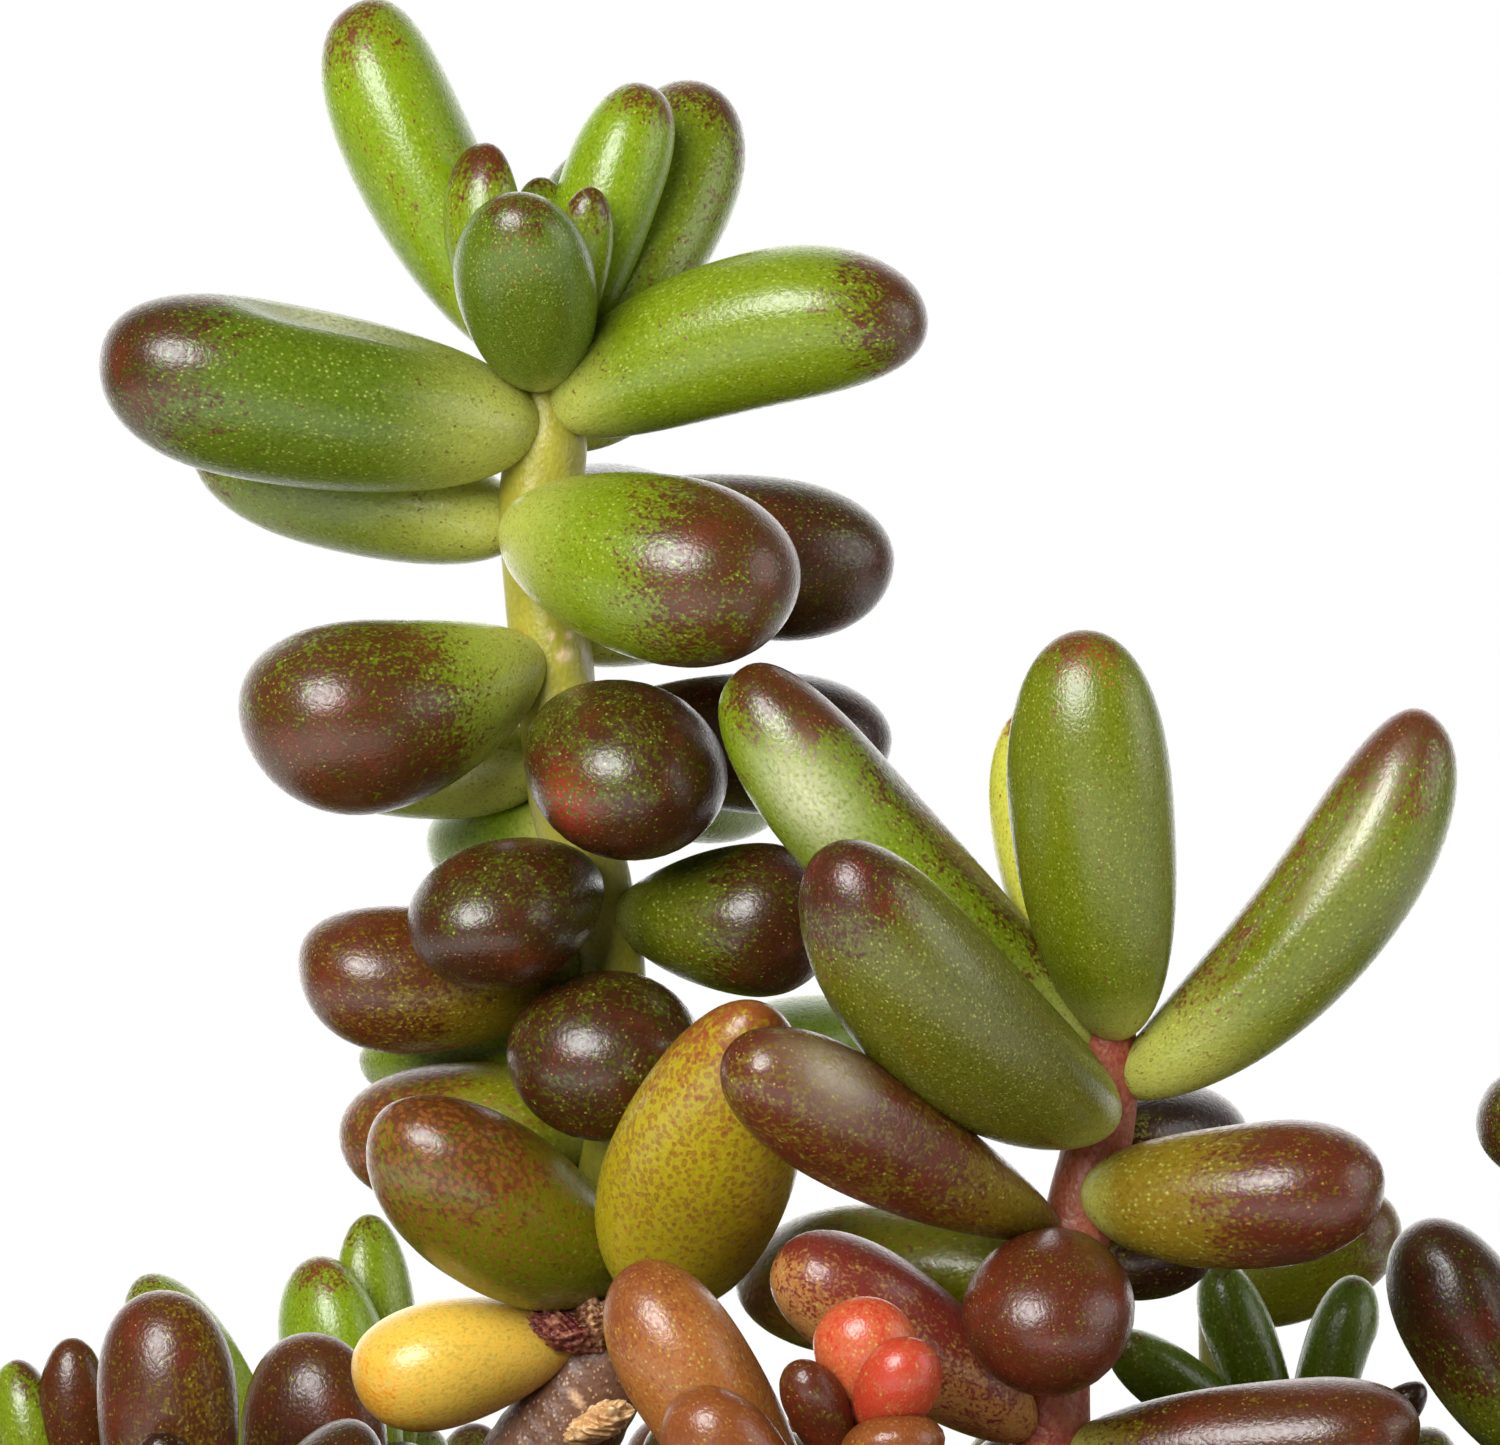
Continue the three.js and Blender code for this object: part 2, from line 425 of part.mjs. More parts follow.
/** Tries to grow one leaf of the rule on a shoot, level by level from the top. */
function growLeaf(shoot, level, levels, shoots, random) {
  const share = level / (levels - 1);
  const azimuth = shoot.phase + level * GOLDEN_ANGLE + (random() - 0.5) * TURN_JITTER;
  const full = FULL_LEAF_LENGTH[0] + random() * (FULL_LEAF_LENGTH[1] - FULL_LEAF_LENGTH[0]);
  const grown = Math.min(1, share * LENGTH_GAIN + (shoot.placed ? PLACED_START : 0));
  const length = TOP_LEAF_LENGTH + (full - TOP_LEAF_LENGTH) * grown;
  const pitch = TOP_PITCH + (LOW_PITCH - TOP_PITCH) * share;
  const z = shoot.ruleTop - (shoot.ruleTop - SOIL_Z - RULE_LOWEST) * share;
  for (const [scale, turnAzimuth, turnPitch] of TRIES) {
    const p = THREE.MathUtils.degToRad(Math.min(STEEPEST, pitch + turnPitch));
    const a = azimuth + THREE.MathUtils.degToRad(turnAzimuth);
    const out = new THREE.Vector3(Math.cos(a), Math.sin(a), 0);
    const base = shoot.axisAt(z).addScaledVector(out, ROOT_SINK);
    const tip = base.clone().addScaledVector(out, length * scale * Math.cos(p));
    tip.z += length * scale * Math.sin(p);
    const size = length * Math.sqrt(scale);
    const leaf = makeLeaf(
      base, tip, size * LEAF_WIDTH_RATIO, size * LEAF_THICKNESS_RATIO, ...RULE_FORM, RULE_BOW * length,
    );
    if (isClear(leaf, shoot, shoots)) {
      shoot.leaves.push({ leaf, grade: PLAIN });
      shoot.spheres.push(...leafSpheres(leaf));
      return;
    }
  }
}

/** Adds a shoot with its stem to the list. */
function addShoot(shoots, { name, colour, points, radii, levels, placed, phase }) {
  const rootOf = (base) => {
    const line = new THREE.Line3();
    const near = new THREE.Vector3();
    const crown = points[0].clone().lerp(points[1], CROWN);
    let [best, radius] = [crown, radii[0]];
    for (let i = 0; i < points.length - 2; i += 1) {
      line.set(i === 0 ? crown : points[i], points[i + 1]).closestPointToPoint(base, true, near);
      if (near.distanceTo(base) < best.distanceTo(base)) [best, radius] = [near.clone(), radii[i]];
    }
    return base.clone().sub(best).clampLength(0, ROOT_SHARE * radius).add(best);
  };
  const axisAt = (z) => {
    for (let i = 0; i < points.length - 1; i += 1) {
      const [high, low] = [points[i], points[i + 1]];
      if (z <= high.z && z >= low.z) return high.clone().lerp(low, (high.z - z) / (high.z - low.z));
    }
    return points[0].clone();
  };
  const ruleTop = Math.min(points[0].z - RULE_TOP_GAP, SOIL_Z + RULE_HEIGHT);
  const shoot = {
    name, colour, points, radii, levels, placed, phase, rootOf, axisAt, ruleTop, leaves: [],
    spheres: stemSpheres(points, radii),
  };
  shoots.push(shoot);
  return shoot;
}

/** Every shoot of the plant, the placed ones first. */
function growPlant() {
  const random = makeRandom(20251125);
  const shoots = [];
  for (const { name, colour, foot, leaves, extra, stem } of PLACED_SHOOTS) {
    const shoot = addShoot(shoots, {
      name, colour, ...plantStem(stem, foot), levels: extra, placed: true, phase: random() * 2 * Math.PI,
    });
    for (const [leafName, base, tip, ...form] of leaves) {
      const start = CLASPING.includes(leafName) ? at(base) : shoot.rootOf(at(base));
      const leaf = makeLeaf(start, at(tip), ...form);
      shoot.leaves.push({ leaf, grade: leaf.width < DETAILED_WIDTH ? PLAIN : DETAILED });
      shoot.spheres.push(...leafSpheres(leaf));
    }
  }
  const feet = PLACED_SHOOTS.map(({ foot }) => foot);
  for (let i = 0; i < MAT_POINTS; i += 1) {
    const distance = MAT_RADIUS * Math.sqrt((i + 0.5) / MAT_POINTS);
    const angle = i * GOLDEN_ANGLE;
    const x = distance * Math.cos(angle) + (random() - 0.5) * 2 * MAT_JITTER;
    const y = distance * Math.sin(angle) + (random() - 0.5) * 2 * MAT_JITTER;
    const rise = MAT_STEM_RISE[0] + random() * (MAT_STEM_RISE[1] - MAT_STEM_RISE[0]);
    const phase = random() * 2 * Math.PI;
    if (feet.some(([fx, fy]) => Math.hypot(x - fx, y - fy) < MAT_SPACING)) continue;
    feet.push([x, y]);
    const back = y > STEM_PLANE_Y && Math.abs(x) < MAT_BACK_WIDTH;
    const height = back ? Math.min(rise, MAT_BACK_RISE) : rise;
    const outward = new THREE.Vector3(x, y, 0).normalize();
    const top = new THREE.Vector3(x, y, SOIL_Z + height)
      .addScaledVector(outward, MAT_LEAN * height * distance / MAT_RADIUS);
    const number = String(shoots.length - PLACED_SHOOTS.length + 1).padStart(2, '0');
    addShoot(shoots, {
      name: `mat_shoot_${number}`,
      colour: MAT_COLOURS[shoots.length % MAT_COLOURS.length],
      points: [top, new THREE.Vector3(x, y, SOIL_Z + STEM_STRAIGHT), new THREE.Vector3(x, y, FOOT_Z)],
      radii: [MAT_TOP_RADIUS, MAT_STEM_RADIUS, MAT_STEM_RADIUS],
      levels: MAT_LEAVES,
      placed: false,
      phase,
    });
  }
  for (let level = 0; level < MAT_LEAVES; level += 1) {
    for (const shoot of shoots) {
      if (level < shoot.levels) growLeaf(shoot, level, shoot.levels, shoots, random);
    }
  }
  return shoots;
}

/** The pot: a tapered wall with a collar and a floor with one hole. */
function potSolid() {
  const profile = [
    [DRAIN_RADIUS, 0], [FOOT_RADIUS, 0], [FOOT_RADIUS + 0.7, 0.9],
    [COLLAR_RADIUS - 2.7, COLLAR_Z - 1.6], [COLLAR_RADIUS - 0.6, COLLAR_Z - 1], [COLLAR_RADIUS, COLLAR_Z],
    [RIM_RADIUS, POT_HEIGHT - 1.4], [RIM_RADIUS - 0.5, POT_HEIGHT],
    [INNER_RIM_RADIUS + 0.7, POT_HEIGHT], [INNER_RIM_RADIUS, INNER_RIM_Z],
    [INNER_FLOOR_RADIUS, FLOOR_THICKNESS], [DRAIN_RADIUS, FLOOR_THICKNESS], [DRAIN_RADIUS, 0],
  ];
  return bentLathe(profile, POT_SIDES, (height, x, z) => new THREE.Vector3(z, x, height));
}

/** The soil that fills the pot, with a hole for each stem. */
function soilSolid(shoots) {
  const slope = (INNER_RIM_RADIUS - INNER_FLOOR_RADIUS) / (INNER_RIM_Z - FLOOR_THICKNESS);
  const inner = (z) => INNER_FLOOR_RADIUS + slope * (z - FLOOR_THICKNESS) - SOIL_GAP;
  const bottom = FLOOR_THICKNESS + SOIL_GAP;
  const edge = SOIL_Z - 0.6;
  const profile = [[0, bottom], [inner(bottom), bottom], [inner(edge), edge]];
  SOIL_RINGS.forEach((radius) => profile.push([radius, SOIL_Z]));
  let soil = bentLathe(profile, SOIL_SIDES, (height, x, z) => (
    new THREE.Vector3(z, x, height >= SOIL_Z ? soilHeight(z, x) : height)));
  for (const { points, radii } of shoots) {
    const foot = points[points.length - 1];
    const radius = (radii[radii.length - 1] + SOIL_GAP) / Math.cos(Math.PI / HOLE_SIDES);
    const depth = SOIL_Z + 2 - (FOOT_Z - SOIL_GAP);
    const hole = new THREE.CylinderGeometry(radius, radius, depth, HOLE_SIDES);
    hole.rotateX(Math.PI / 2);
    hole.translate(foot.x, foot.y, FOOT_Z - SOIL_GAP + depth / 2);
    soil = soil.subtract(toSolid(hole));
  }
  return soil;
}

/** Puts a solid in the scene under its name. */
function addPiece(group, name, solid, material) {
  const mesh = new THREE.Mesh(toGeometry(solid), new THREE.MeshStandardMaterial(material));
  mesh.name = name;
  group.add(mesh);
}

const plant = new THREE.Group();
const shoots = growPlant();
addPiece(plant, 'pot', potSolid(), { color: 0xb4623c, roughness: 0.85, metalness: 0 });
addPiece(plant, 'soil', soilSolid(shoots), { color: 0x3d2c21, roughness: 0.95, metalness: 0 });
for (const shoot of shoots) {
  const stem = stemSolid(shoot.points, shoot.radii, shoot.placed ? PLACED_STEM_SIDES : MAT_STEM_SIDES);
  const solid = shoot.leaves.reduce((whole, { leaf, grade }) => whole.add(leafSolid(leaf, grade)), stem);
  addPiece(plant, shoot.name, solid, { color: shoot.colour, roughness: 0.45, metalness: 0 });
}

export default plant;
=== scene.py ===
"""Looks of a potted white stonecrop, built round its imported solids.

Lengths in this file are millimetres until a mesh is handed to Blender, which holds metres. Each shoot is one
class instance that grows its leaves and its stem as surfaces worked out with numpy. The leaves in view are
placed by where a camera sees their two ends, and the others follow the growth rule of the solids.
"""

import itertools
import json
import logging
import math
from collections.abc import Callable, Sequence
from dataclasses import dataclass, field
from enum import Enum
from typing import Any

import bpy
import numpy as np
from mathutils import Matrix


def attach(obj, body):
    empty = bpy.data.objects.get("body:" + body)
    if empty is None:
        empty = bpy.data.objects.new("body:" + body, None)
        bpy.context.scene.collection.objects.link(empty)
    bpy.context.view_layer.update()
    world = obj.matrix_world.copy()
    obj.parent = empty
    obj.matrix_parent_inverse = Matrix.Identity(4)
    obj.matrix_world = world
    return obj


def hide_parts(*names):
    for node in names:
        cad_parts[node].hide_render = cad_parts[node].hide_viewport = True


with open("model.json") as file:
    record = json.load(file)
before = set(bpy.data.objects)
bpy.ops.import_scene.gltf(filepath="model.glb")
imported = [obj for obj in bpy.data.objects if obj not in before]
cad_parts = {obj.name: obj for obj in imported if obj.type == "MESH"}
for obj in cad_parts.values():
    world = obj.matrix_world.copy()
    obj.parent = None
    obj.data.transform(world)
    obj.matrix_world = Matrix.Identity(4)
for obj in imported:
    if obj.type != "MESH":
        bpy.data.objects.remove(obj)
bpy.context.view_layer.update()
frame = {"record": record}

LOG = logging.getLogger("stonecrop")
MM = 0.001
BODY = "root"
SLOTS = {node["node"]: node["material_slot"] for node in frame["record"]["subparts"]}
GOLDEN_ANGLE = math.radians(137.508)


def linear(red: int, green: int, blue: int) -> tuple[float, ...]:
    """Turns a display colour of 0 to 255 into linear light, by the sRGB standard's curve.

    A share of up to 0.04045 is divided by 12.92, and a larger one becomes ((share + 0.055) / 1.055) ^ 2.4.

    Args:
        red: Red, 0 to 255.
        green: Green, 0 to 255.
        blue: Blue, 0 to 255.

    Returns:
        Three linear values from 0 to 1.
    """
    shares = (red / 255, green / 255, blue / 255)
    return tuple(share / 12.92 if share <= 0.04045 else ((share + 0.055) / 1.055) ** 2.4 for share in shares)


def smoothstep(low: float, high: float, value: np.ndarray) -> np.ndarray:
    """Rises smoothly from 0 at low to 1 at high, by the cubic 3t^2 - 2t^3.

    Args:
        low: Where the step starts.
        high: Where it ends, which may be below low for a falling step.
        value: Where to take it.

    Returns:
        The step's height at each value.
    """
    share = np.clip((value - low) / (high - low), 0, 1)
    return share * share * (3 - 2 * share)


def lobed(lobes: tuple[tuple[int, float, float], ...], turn: np.ndarray, run: np.ndarray,
          starts: np.ndarray) -> np.ndarray:
    """Swells and sinks a round section: one plus a sine wave for each kind of lobe.

    Args:
        lobes: For each kind, how many stand round the section, how high they are and how much they wind.
        turn: Angles round the section.
        run: Places along it.
        starts: The angle at which each kind starts.

    Returns:
        What the radius is multiplied by at each point.
    """
    swollen = np.ones_like(turn)
    for (count, height, wind), start in zip(lobes, starts):
        swollen += height * np.sin(count * turn + start + wind * run)
    return swollen


def circle(count: int) -> np.ndarray:
    """Returns angles that stand evenly round a circle."""
    return 2 * math.pi * np.arange(count) / count


def unit(vector: np.ndarray) -> np.ndarray:
    """Returns the vector at length 1."""
    return vector / np.linalg.norm(vector)


def opaque(colours: np.ndarray) -> np.ndarray:
    """Adds a fourth column of ones to colours, one colour a row."""
    return np.hstack([colours, np.ones((len(colours), 1))])


def with_ends(first: float, grid: np.ndarray, last: float) -> np.ndarray:
    """Lists a grid's values, with the first pole's value before them and the last pole's after them."""
    return np.concatenate([[first], grid.ravel(), [last]])


def put(name: str, data: bpy.types.ID) -> bpy.types.Object:
    """Makes an object that shows a mesh, lamp or camera, and puts it in the scene.

    Args:
        name: Its name.
        data: What it shows.

    Returns:
        The object.
    """
    made = bpy.data.objects.new(name, data)
    bpy.context.scene.collection.objects.link(made)
    return made


class Lcg:
    """The small seeded number source that the solids' growth rule uses, so that both grow the same leaves."""

    MULTIPLIER = 1664525
    INCREMENT = 1013904223
    MODULUS = 2 ** 32

    def __init__(self, seed: int) -> None:
        """Starts at a seed."""
        self.state = seed

    def draw(self) -> float:
        """Returns the next number from 0 to 1."""
        self.state = (self.state * self.MULTIPLIER + self.INCREMENT) % self.MODULUS
        return self.state / self.MODULUS


@dataclass(frozen=True)
class PhotoView:
    """The pinhole camera that the leaves were measured with."""

    centre: tuple[float, float] = (750.0, 722.5)
    mm_per_pixel: float = 0.024
    distance: float = 200.0
    pitch: float = math.radians(3.0)
    plane_y: float = -7.0
    centre_z: float = 75.5
    lens: float = 200.0
    sensor: float = 36.0

    @property
    def forward(self) -> np.ndarray:
        """The direction that the camera looks in."""
        return np.array([0.0, math.cos(self.pitch), -math.sin(self.pitch)])

    @property
    def upward(self) -> np.ndarray:
        """The direction that is up in the picture."""
        return np.array([0.0, math.sin(self.pitch), math.cos(self.pitch)])

    @property
    def place(self) -> np.ndarray:
        """Where the camera stands."""
        return np.array([0.0, self.plane_y, self.centre_z]) - self.forward * self.distance

    def at(self, pixel: tuple[float, float, float]) -> np.ndarray:
        """The point seen at a pixel, in the plane that lies that many mm behind the stem plane.

        Args:
            pixel: Column and row in the 1500 x 1445 picture, and the depth behind the stem plane.

        Returns:
            The point.
        """
        column, row, depth = pixel
        ray = self.forward * self.distance
        ray = ray + np.array([(column - self.centre[0]) * self.mm_per_pixel, 0.0, 0.0])
        ray = ray + self.upward * ((self.centre[1] - row) * self.mm_per_pixel)
        return self.place + ray * ((self.plane_y + depth - self.place[1]) / ray[1])

    def seen(self, points: np.ndarray) -> tuple[np.ndarray, np.ndarray, np.ndarray]:
        """Pixel rows and columns of points, and the size of a pixel at each.

        Args:
            points: One point a row.

        Returns:
            Rows, columns and mm per pixel.
        """
        offset = points - self.place
        pixel = offset @ self.forward / self.distance * self.mm_per_pixel
        return self.centre[1] - offset @ self.upward / pixel, self.centre[0] + offset[:, 0] / pixel, pixel


VIEW = PhotoView()


@dataclass(frozen=True)
class PotSize:
    """Sizes of the pot and of the soil in it.

    The soil's top rises and falls by a broad wave (along X, along Y, shift) and a fine one (along X, along Y,
    height). The stems stand in it from foot_z up, and the old stem is wood below bark_z.
    """

    height: float = 50.0
    rim_radius: float = 31.0
    foot_radius: float = 19.9
    collar_radius: float = 30.2
    collar_z: float = 38.2
    drain_radius: float = 4.5
    floor: float = 4.0
    inner_floor_radius: float = 18.2
    inner_rim_radius: float = 27.8
    inner_rim_z: float = 49.3
    soil_z: float = 47.5
    soil_gap: float = 0.3
    soil_bump: float = 0.35
    soil_edge_drop: float = 0.6
    broad_wave: tuple[float, float, float] = (0.42, 0.37, 1.3)
    fine_wave: tuple[float, float, float] = (0.6, 0.9, 0.5)
    foot_z: float = 44.8
    bark_z: float = 60.9
    stem_straight: float = 0.8

    @property
    def soil_edge(self) -> float:
        """The height at which the soil meets the pot's wall."""
        return self.soil_z - self.soil_edge_drop

    def inner(self, z: float) -> float:
        """The soil's radius at a height, a gap inside the pot's wall."""
        slope = (self.inner_rim_radius - self.inner_floor_radius) / (self.inner_rim_z - self.floor)
        return self.inner_floor_radius + slope * (z - self.floor) - self.soil_gap

    def soil_height(self, x: np.ndarray, y: np.ndarray) -> np.ndarray:
        """The soil's height at places: two waves make low bumps.

        Args:
            x: Places along X.
            y: Places along Y.

        Returns:
            The height at each place.
        """
        along_x, along_y, shift = self.broad_wave
        broad = np.sin(along_x * x + shift) * np.cos(along_y * y)
        along_x, along_y, height = self.fine_wave
        fine = height * np.sin(along_y * y + along_x * x)
        return self.soil_z + self.soil_bump * (broad + fine)


POT = PotSize()


class Tint(Enum):
    """A leaf's ground colour and the colour of its flush."""

    BRIGHT = (linear(122, 148, 6), linear(96, 56, 16))
    FRESH = (linear(116, 136, 8), linear(78, 42, 14))
    GREEN = (linear(84, 106, 6), linear(66, 38, 12))
    SOFT = (linear(102, 112, 6), linear(92, 48, 22))
    PALE = (linear(192, 192, 70), linear(130, 70, 40))
    OLIVE = (linear(92, 94, 8), linear(66, 30, 16))
    AGED = (linear(116, 116, 8), linear(94, 50, 18))
    OLD = (linear(172, 154, 22), linear(134, 70, 30))
    ROSY = (linear(124, 102, 18), linear(86, 35, 17))
    RUDDY = (linear(128, 104, 12), linear(78, 36, 12))
    BALL = (linear(86, 92, 8), linear(60, 29, 9))
    DARK = (linear(66, 46, 8), linear(46, 18, 4))
    YELLOW = (linear(226, 186, 72), linear(212, 144, 34))
    PINK = (linear(188, 132, 72), linear(118, 44, 34))
    ORANGE = (linear(164, 100, 44), linear(124, 66, 28))
    SALMON = (linear(204, 98, 58), linear(180, 58, 36))
    SCRAP = (linear(120, 72, 44), linear(214, 170, 128))
    RED_SCRAP = (linear(104, 34, 32), linear(170, 112, 86))
    CREAM = (linear(206, 158, 104), linear(240, 206, 158))


PALE_BASE = np.array(linear(190, 192, 92))


@dataclass(frozen=True)
class Look:
    """How one leaf is coloured.

    The flush covers the leaf from its tip down by its reach, as strongly as its strength says, and more on
    the side that the bias points to along X and Z. Dots is the share of cells with a brown ring, pale is how
    far up the pale base goes, and grain is how fine the pattern is.
    """

    tint: Tint
    reach: float = 0.2
    strength: float = 0.8
    bias: tuple[float, float] = (0.0, 0.0)
    dots: float = 0.0
    pale: float = 0.22
    grain: float = 1.0


@dataclass(frozen=True)
class Form:
    """A leaf's width and thickness, where along it they are greatest, how blunt its base and its tip are, and
    how far its middle bows up."""

    width: float
    thickness: float
    widest: float = 0.6
    base_blunt: float = 2.0
    tip_blunt: float = 2.0
    bow: float = 0.0


@dataclass(frozen=True)
class Patch:
    """A patch along a leaf: where round it in degrees, from where to where along it, how wide in radians, how
    strong, and over what share of its length it fades in and out, which is half of it if none is given."""

    angle: float
    start: float
    end: float
    width: float
    strength: float
    fade: float = 0.0

    def share(self, tall: np.ndarray, turn: np.ndarray) -> np.ndarray:
        """How strong the patch is at places: a bell curve round the leaf, faded in and out along it.

        Args:
            tall: Places along the leaf.
            turn: Angles round it.

        Returns:
            The strength at each place.
        """
        fade = self.fade or (self.end - self.start) / 2
        off = (turn - math.radians(self.angle) + math.pi) % (2 * math.pi) - math.pi
        inside = smoothstep(self.start, self.start + fade, tall) * smoothstep(self.end, self.end - fade, tall)
        return self.strength * inside * np.exp(-(off / self.width) ** 2)


Row = tuple[str, tuple[float, float, float], tuple[float, float, float], Form, Look]

# Each leaf: name, base and tip as pixel column, pixel row and mm behind the stem plane, form and look.
TALL_LEAVES: list[Row] = [
    ("T1", (524, 364, 0.6), (357, 3, 1.0), Form(3.85, 3.35, 0.62, 1.9, 2.5, -0.34),
     Look(Tint.BRIGHT, -0.02, 0.75, (-0.1, 0.04), pale=0.3)),
    ("T2", (535, 381, -0.6), (516, 203, -5.6), Form(3.3, 2.8, 0.6, 2.0, 2.1, -0.1),
     Look(Tint.GREEN, -0.12, 0.55, pale=0.3, grain=1.4)),
    ("T3", (510, 338, 0), (481, 144, -1.6), Form(2.1, 1.9, 0.6, 2.0, 2.3, -0.7),
     Look(Tint.FRESH, -0.02, 0.85)),
    ("T4", (545, 330, 0.4), (541, 177, 0.5), Form(1.7, 1.3, 0.6, 2.0, 2.1), Look(Tint.FRESH, -0.05, 0.7)),
    ("T5", (588, 335, -1.0), (592, 188, -2.3), Form(1.5, 1.4, 0.6, 2.0, 2.1, -0.15),
     Look(Tint.FRESH, -0.02, 0.85)),
    ("T6", (574, 345, 0.5), (646, 84, 0.4), Form(2.9, 2.6, 0.65, 2.0, 2.3, 0.12),
     Look(Tint.BRIGHT, -0.06, 0.85, (0.05, 0.0))),
    ("T7", (590, 375, 1.2), (703, 90, 4.0), Form(3.9, 3.5, 0.64, 2.0, 2.4, -0.32),
     Look(Tint.FRESH, 0.08, 0.8, (0.24, 0.05))),
    ("T8", (555, 350, 1.3), (597, 150, 6.0), Form(2.5, 2.0), Look(Tint.GREEN, 0.1, 0.7)),
    ("T9", (556, 408, -0.3), (923, 309, -3.2), Form(4.25, 4.0, 0.62, 2.3, 2.2, 0.7),
     Look(Tint.FRESH, 0.02, 0.95, (0.06, 0.02), pale=0.3)),
    ("T10", (527, 427, -0.9), (103, 352, -3.4), Form(4.75, 4.55, 0.66, 2.2, 2.3, -0.12),
     Look(Tint.GREEN, 0.12, 0.95, (-0.14, 0.16), pale=0.45)),
    ("T11", (508, 528, 0.7), (198, 440, 3.6), Form(3.8, 3.5, 0.6, 2.2, 2.1),
     Look(Tint.FRESH, 0.06, 0.6, (-0.1, 0.0), pale=0.5)),
    ("T12", (508, 526, -1.1), (783, 590, -5.5), Form(4.9, 4.75, 0.6, 1.9, 2.2),
     Look(Tint.FRESH, 0.36, 0.95, (0.2, 0.1), pale=0.5)),
    ("T13", (580, 530, 0.6), (891, 566, 2.6), Form(4.3, 4.2, 0.62, 2.0, 2.1),
     Look(Tint.BALL, 0.8, 0.86, (0.1, -0.1))),
    ("T14", (575, 510, 0.7), (664, 556, 8.5), Form(4.2, 4.0), Look(Tint.DARK, 0.9, 0.9)),
    ("T15", (572, 440, 0.7), (705, 288, 5.5), Form(3.2, 2.7, 0.6, 2.0, 2.0, -0.1),
     Look(Tint.FRESH, 0.0, 0.6, pale=0.5)),
    ("T16", (540, 658, -1.0), (248, 724, -3.6), Form(5.1, 5.0, 0.65, 1.65, 2.2, -0.3),
     Look(Tint.FRESH, 0.6, 1.0, (-0.14, -0.18), pale=0.5)),
    ("T17", (575, 645, 0.7), (735, 596, 6.0), Form(2.8, 2.1), Look(Tint.BRIGHT, -0.2, 0.4, pale=0.8)),
    ("T18", (597, 715, -0.7), (664, 805, -5.6), Form(4.65, 4.3, 0.6, 1.9),
     Look(Tint.BALL, 1.0, 1.0, (0.34, -0.3))),
    ("T19", (590, 735, 0.6), (887, 741, 3.5), Form(4.0, 3.75, 0.65, 1.9), Look(Tint.DARK, 0.9, 0.85)),
    ("T20", (565, 828, 0.7), (455, 845, 6.0), Form(3.2, 2.9), Look(Tint.BRIGHT, -0.1, 0.5)),
    ("T21", (540, 764, 0.5), (300, 738, 3.6), Form(3.6, 3.2, 0.6, 2.2, 2.0, -0.1),
     Look(Tint.BRIGHT, -0.2, 0.4, pale=0.8)),
    ("T22", (578, 874, -0.7), (446, 938, -5.8), Form(4.15, 3.75, 0.6, 1.7),
     Look(Tint.BALL, 1.0, 0.98, (-0.12, -0.26))),
    ("T23", (598, 948, 0.1), (300, 968, -1.5), Form(4.0, 3.85, 0.65, 1.7, 2.3, -0.4),
     Look(Tint.RUDDY, 0.5, 0.78, (-0.1, 0.05))),
    ("T24", (612, 914, -0.3), (833, 916, -2.0), Form(4.2, 3.95, 0.68, 1.6, 2.1),
     Look(Tint.BALL, 0.42, 0.95, (0.1, -0.06))),
    ("T25", (590, 785, 0.7), (772, 800, 8.0), Form(2.8, 2.4), Look(Tint.FRESH, -0.1, 0.5)),
    ("T26", (632, 1088, 0.7), (878, 1022, 6.0), Form(3.2, 2.7), Look(Tint.BRIGHT, -0.1, 0.5)),
    ("T27", (612, 1010, -0.7), (601, 1084, -5.3), Form(4.65, 4.15, 0.6, 1.9),
     Look(Tint.BALL, 1.0, 0.8, grain=0.8)),
    ("T28", (600, 1042, 0.7), (368, 1060, 5.0), Form(3.2, 2.7), Look(Tint.FRESH, 0.0, 0.5)),
    ("T29", (612, 1120, 0.3), (340, 1137, 1.0), Form(4.0, 3.75, 0.6, 2.0, 2.1),
     Look(Tint.AGED, 0.45, 0.8, (-0.05, 0.05), 0.6, grain=0.8)),
    ("T30", (660, 1290, -1.8), (754, 1009, -9.6), Form(4.55, 4.1, 0.44, 2.2, 1.9),
     Look(Tint.OLD, 0.22, 0.72, (0.14, 0.26), 0.98, 0.0, 0.7)),
    ("T31", (600, 1278, -0.8), (388, 1118, -4.8), Form(4.6, 4.1, 0.52, 2.1, 2.0, -0.1),
     Look(Tint.AGED, 0.34, 0.85, (0.08, 0.24), 0.85, 0.0, 0.72)),
    ("T32", (570, 1326, -0.8), (354, 1380, -1.8), Form(3.4, 3.3, 0.64, 1.6, 2.3),
     Look(Tint.YELLOW, 0.1, 0.5, (0.0, -0.1), 0.04, 0.0)),
]
TALL_SCRAPS: list[Row] = [
    ("scrap_1", (596, 1345, -0.9), (540, 1318, -2.2), Form(1.5, 1.0), Look(Tint.RED_SCRAP, 0.5, 0.6)),
    ("scrap_2", (602, 1350, -1.0), (586, 1303, -2.3), Form(1.3, 0.9), Look(Tint.SCRAP, 0.5, 0.6)),
    ("scale", (572, 1452, -1.0), (622, 1406, -2.0), Form(1.3, 0.8), Look(Tint.CREAM, 0.2, 0.3)),
]
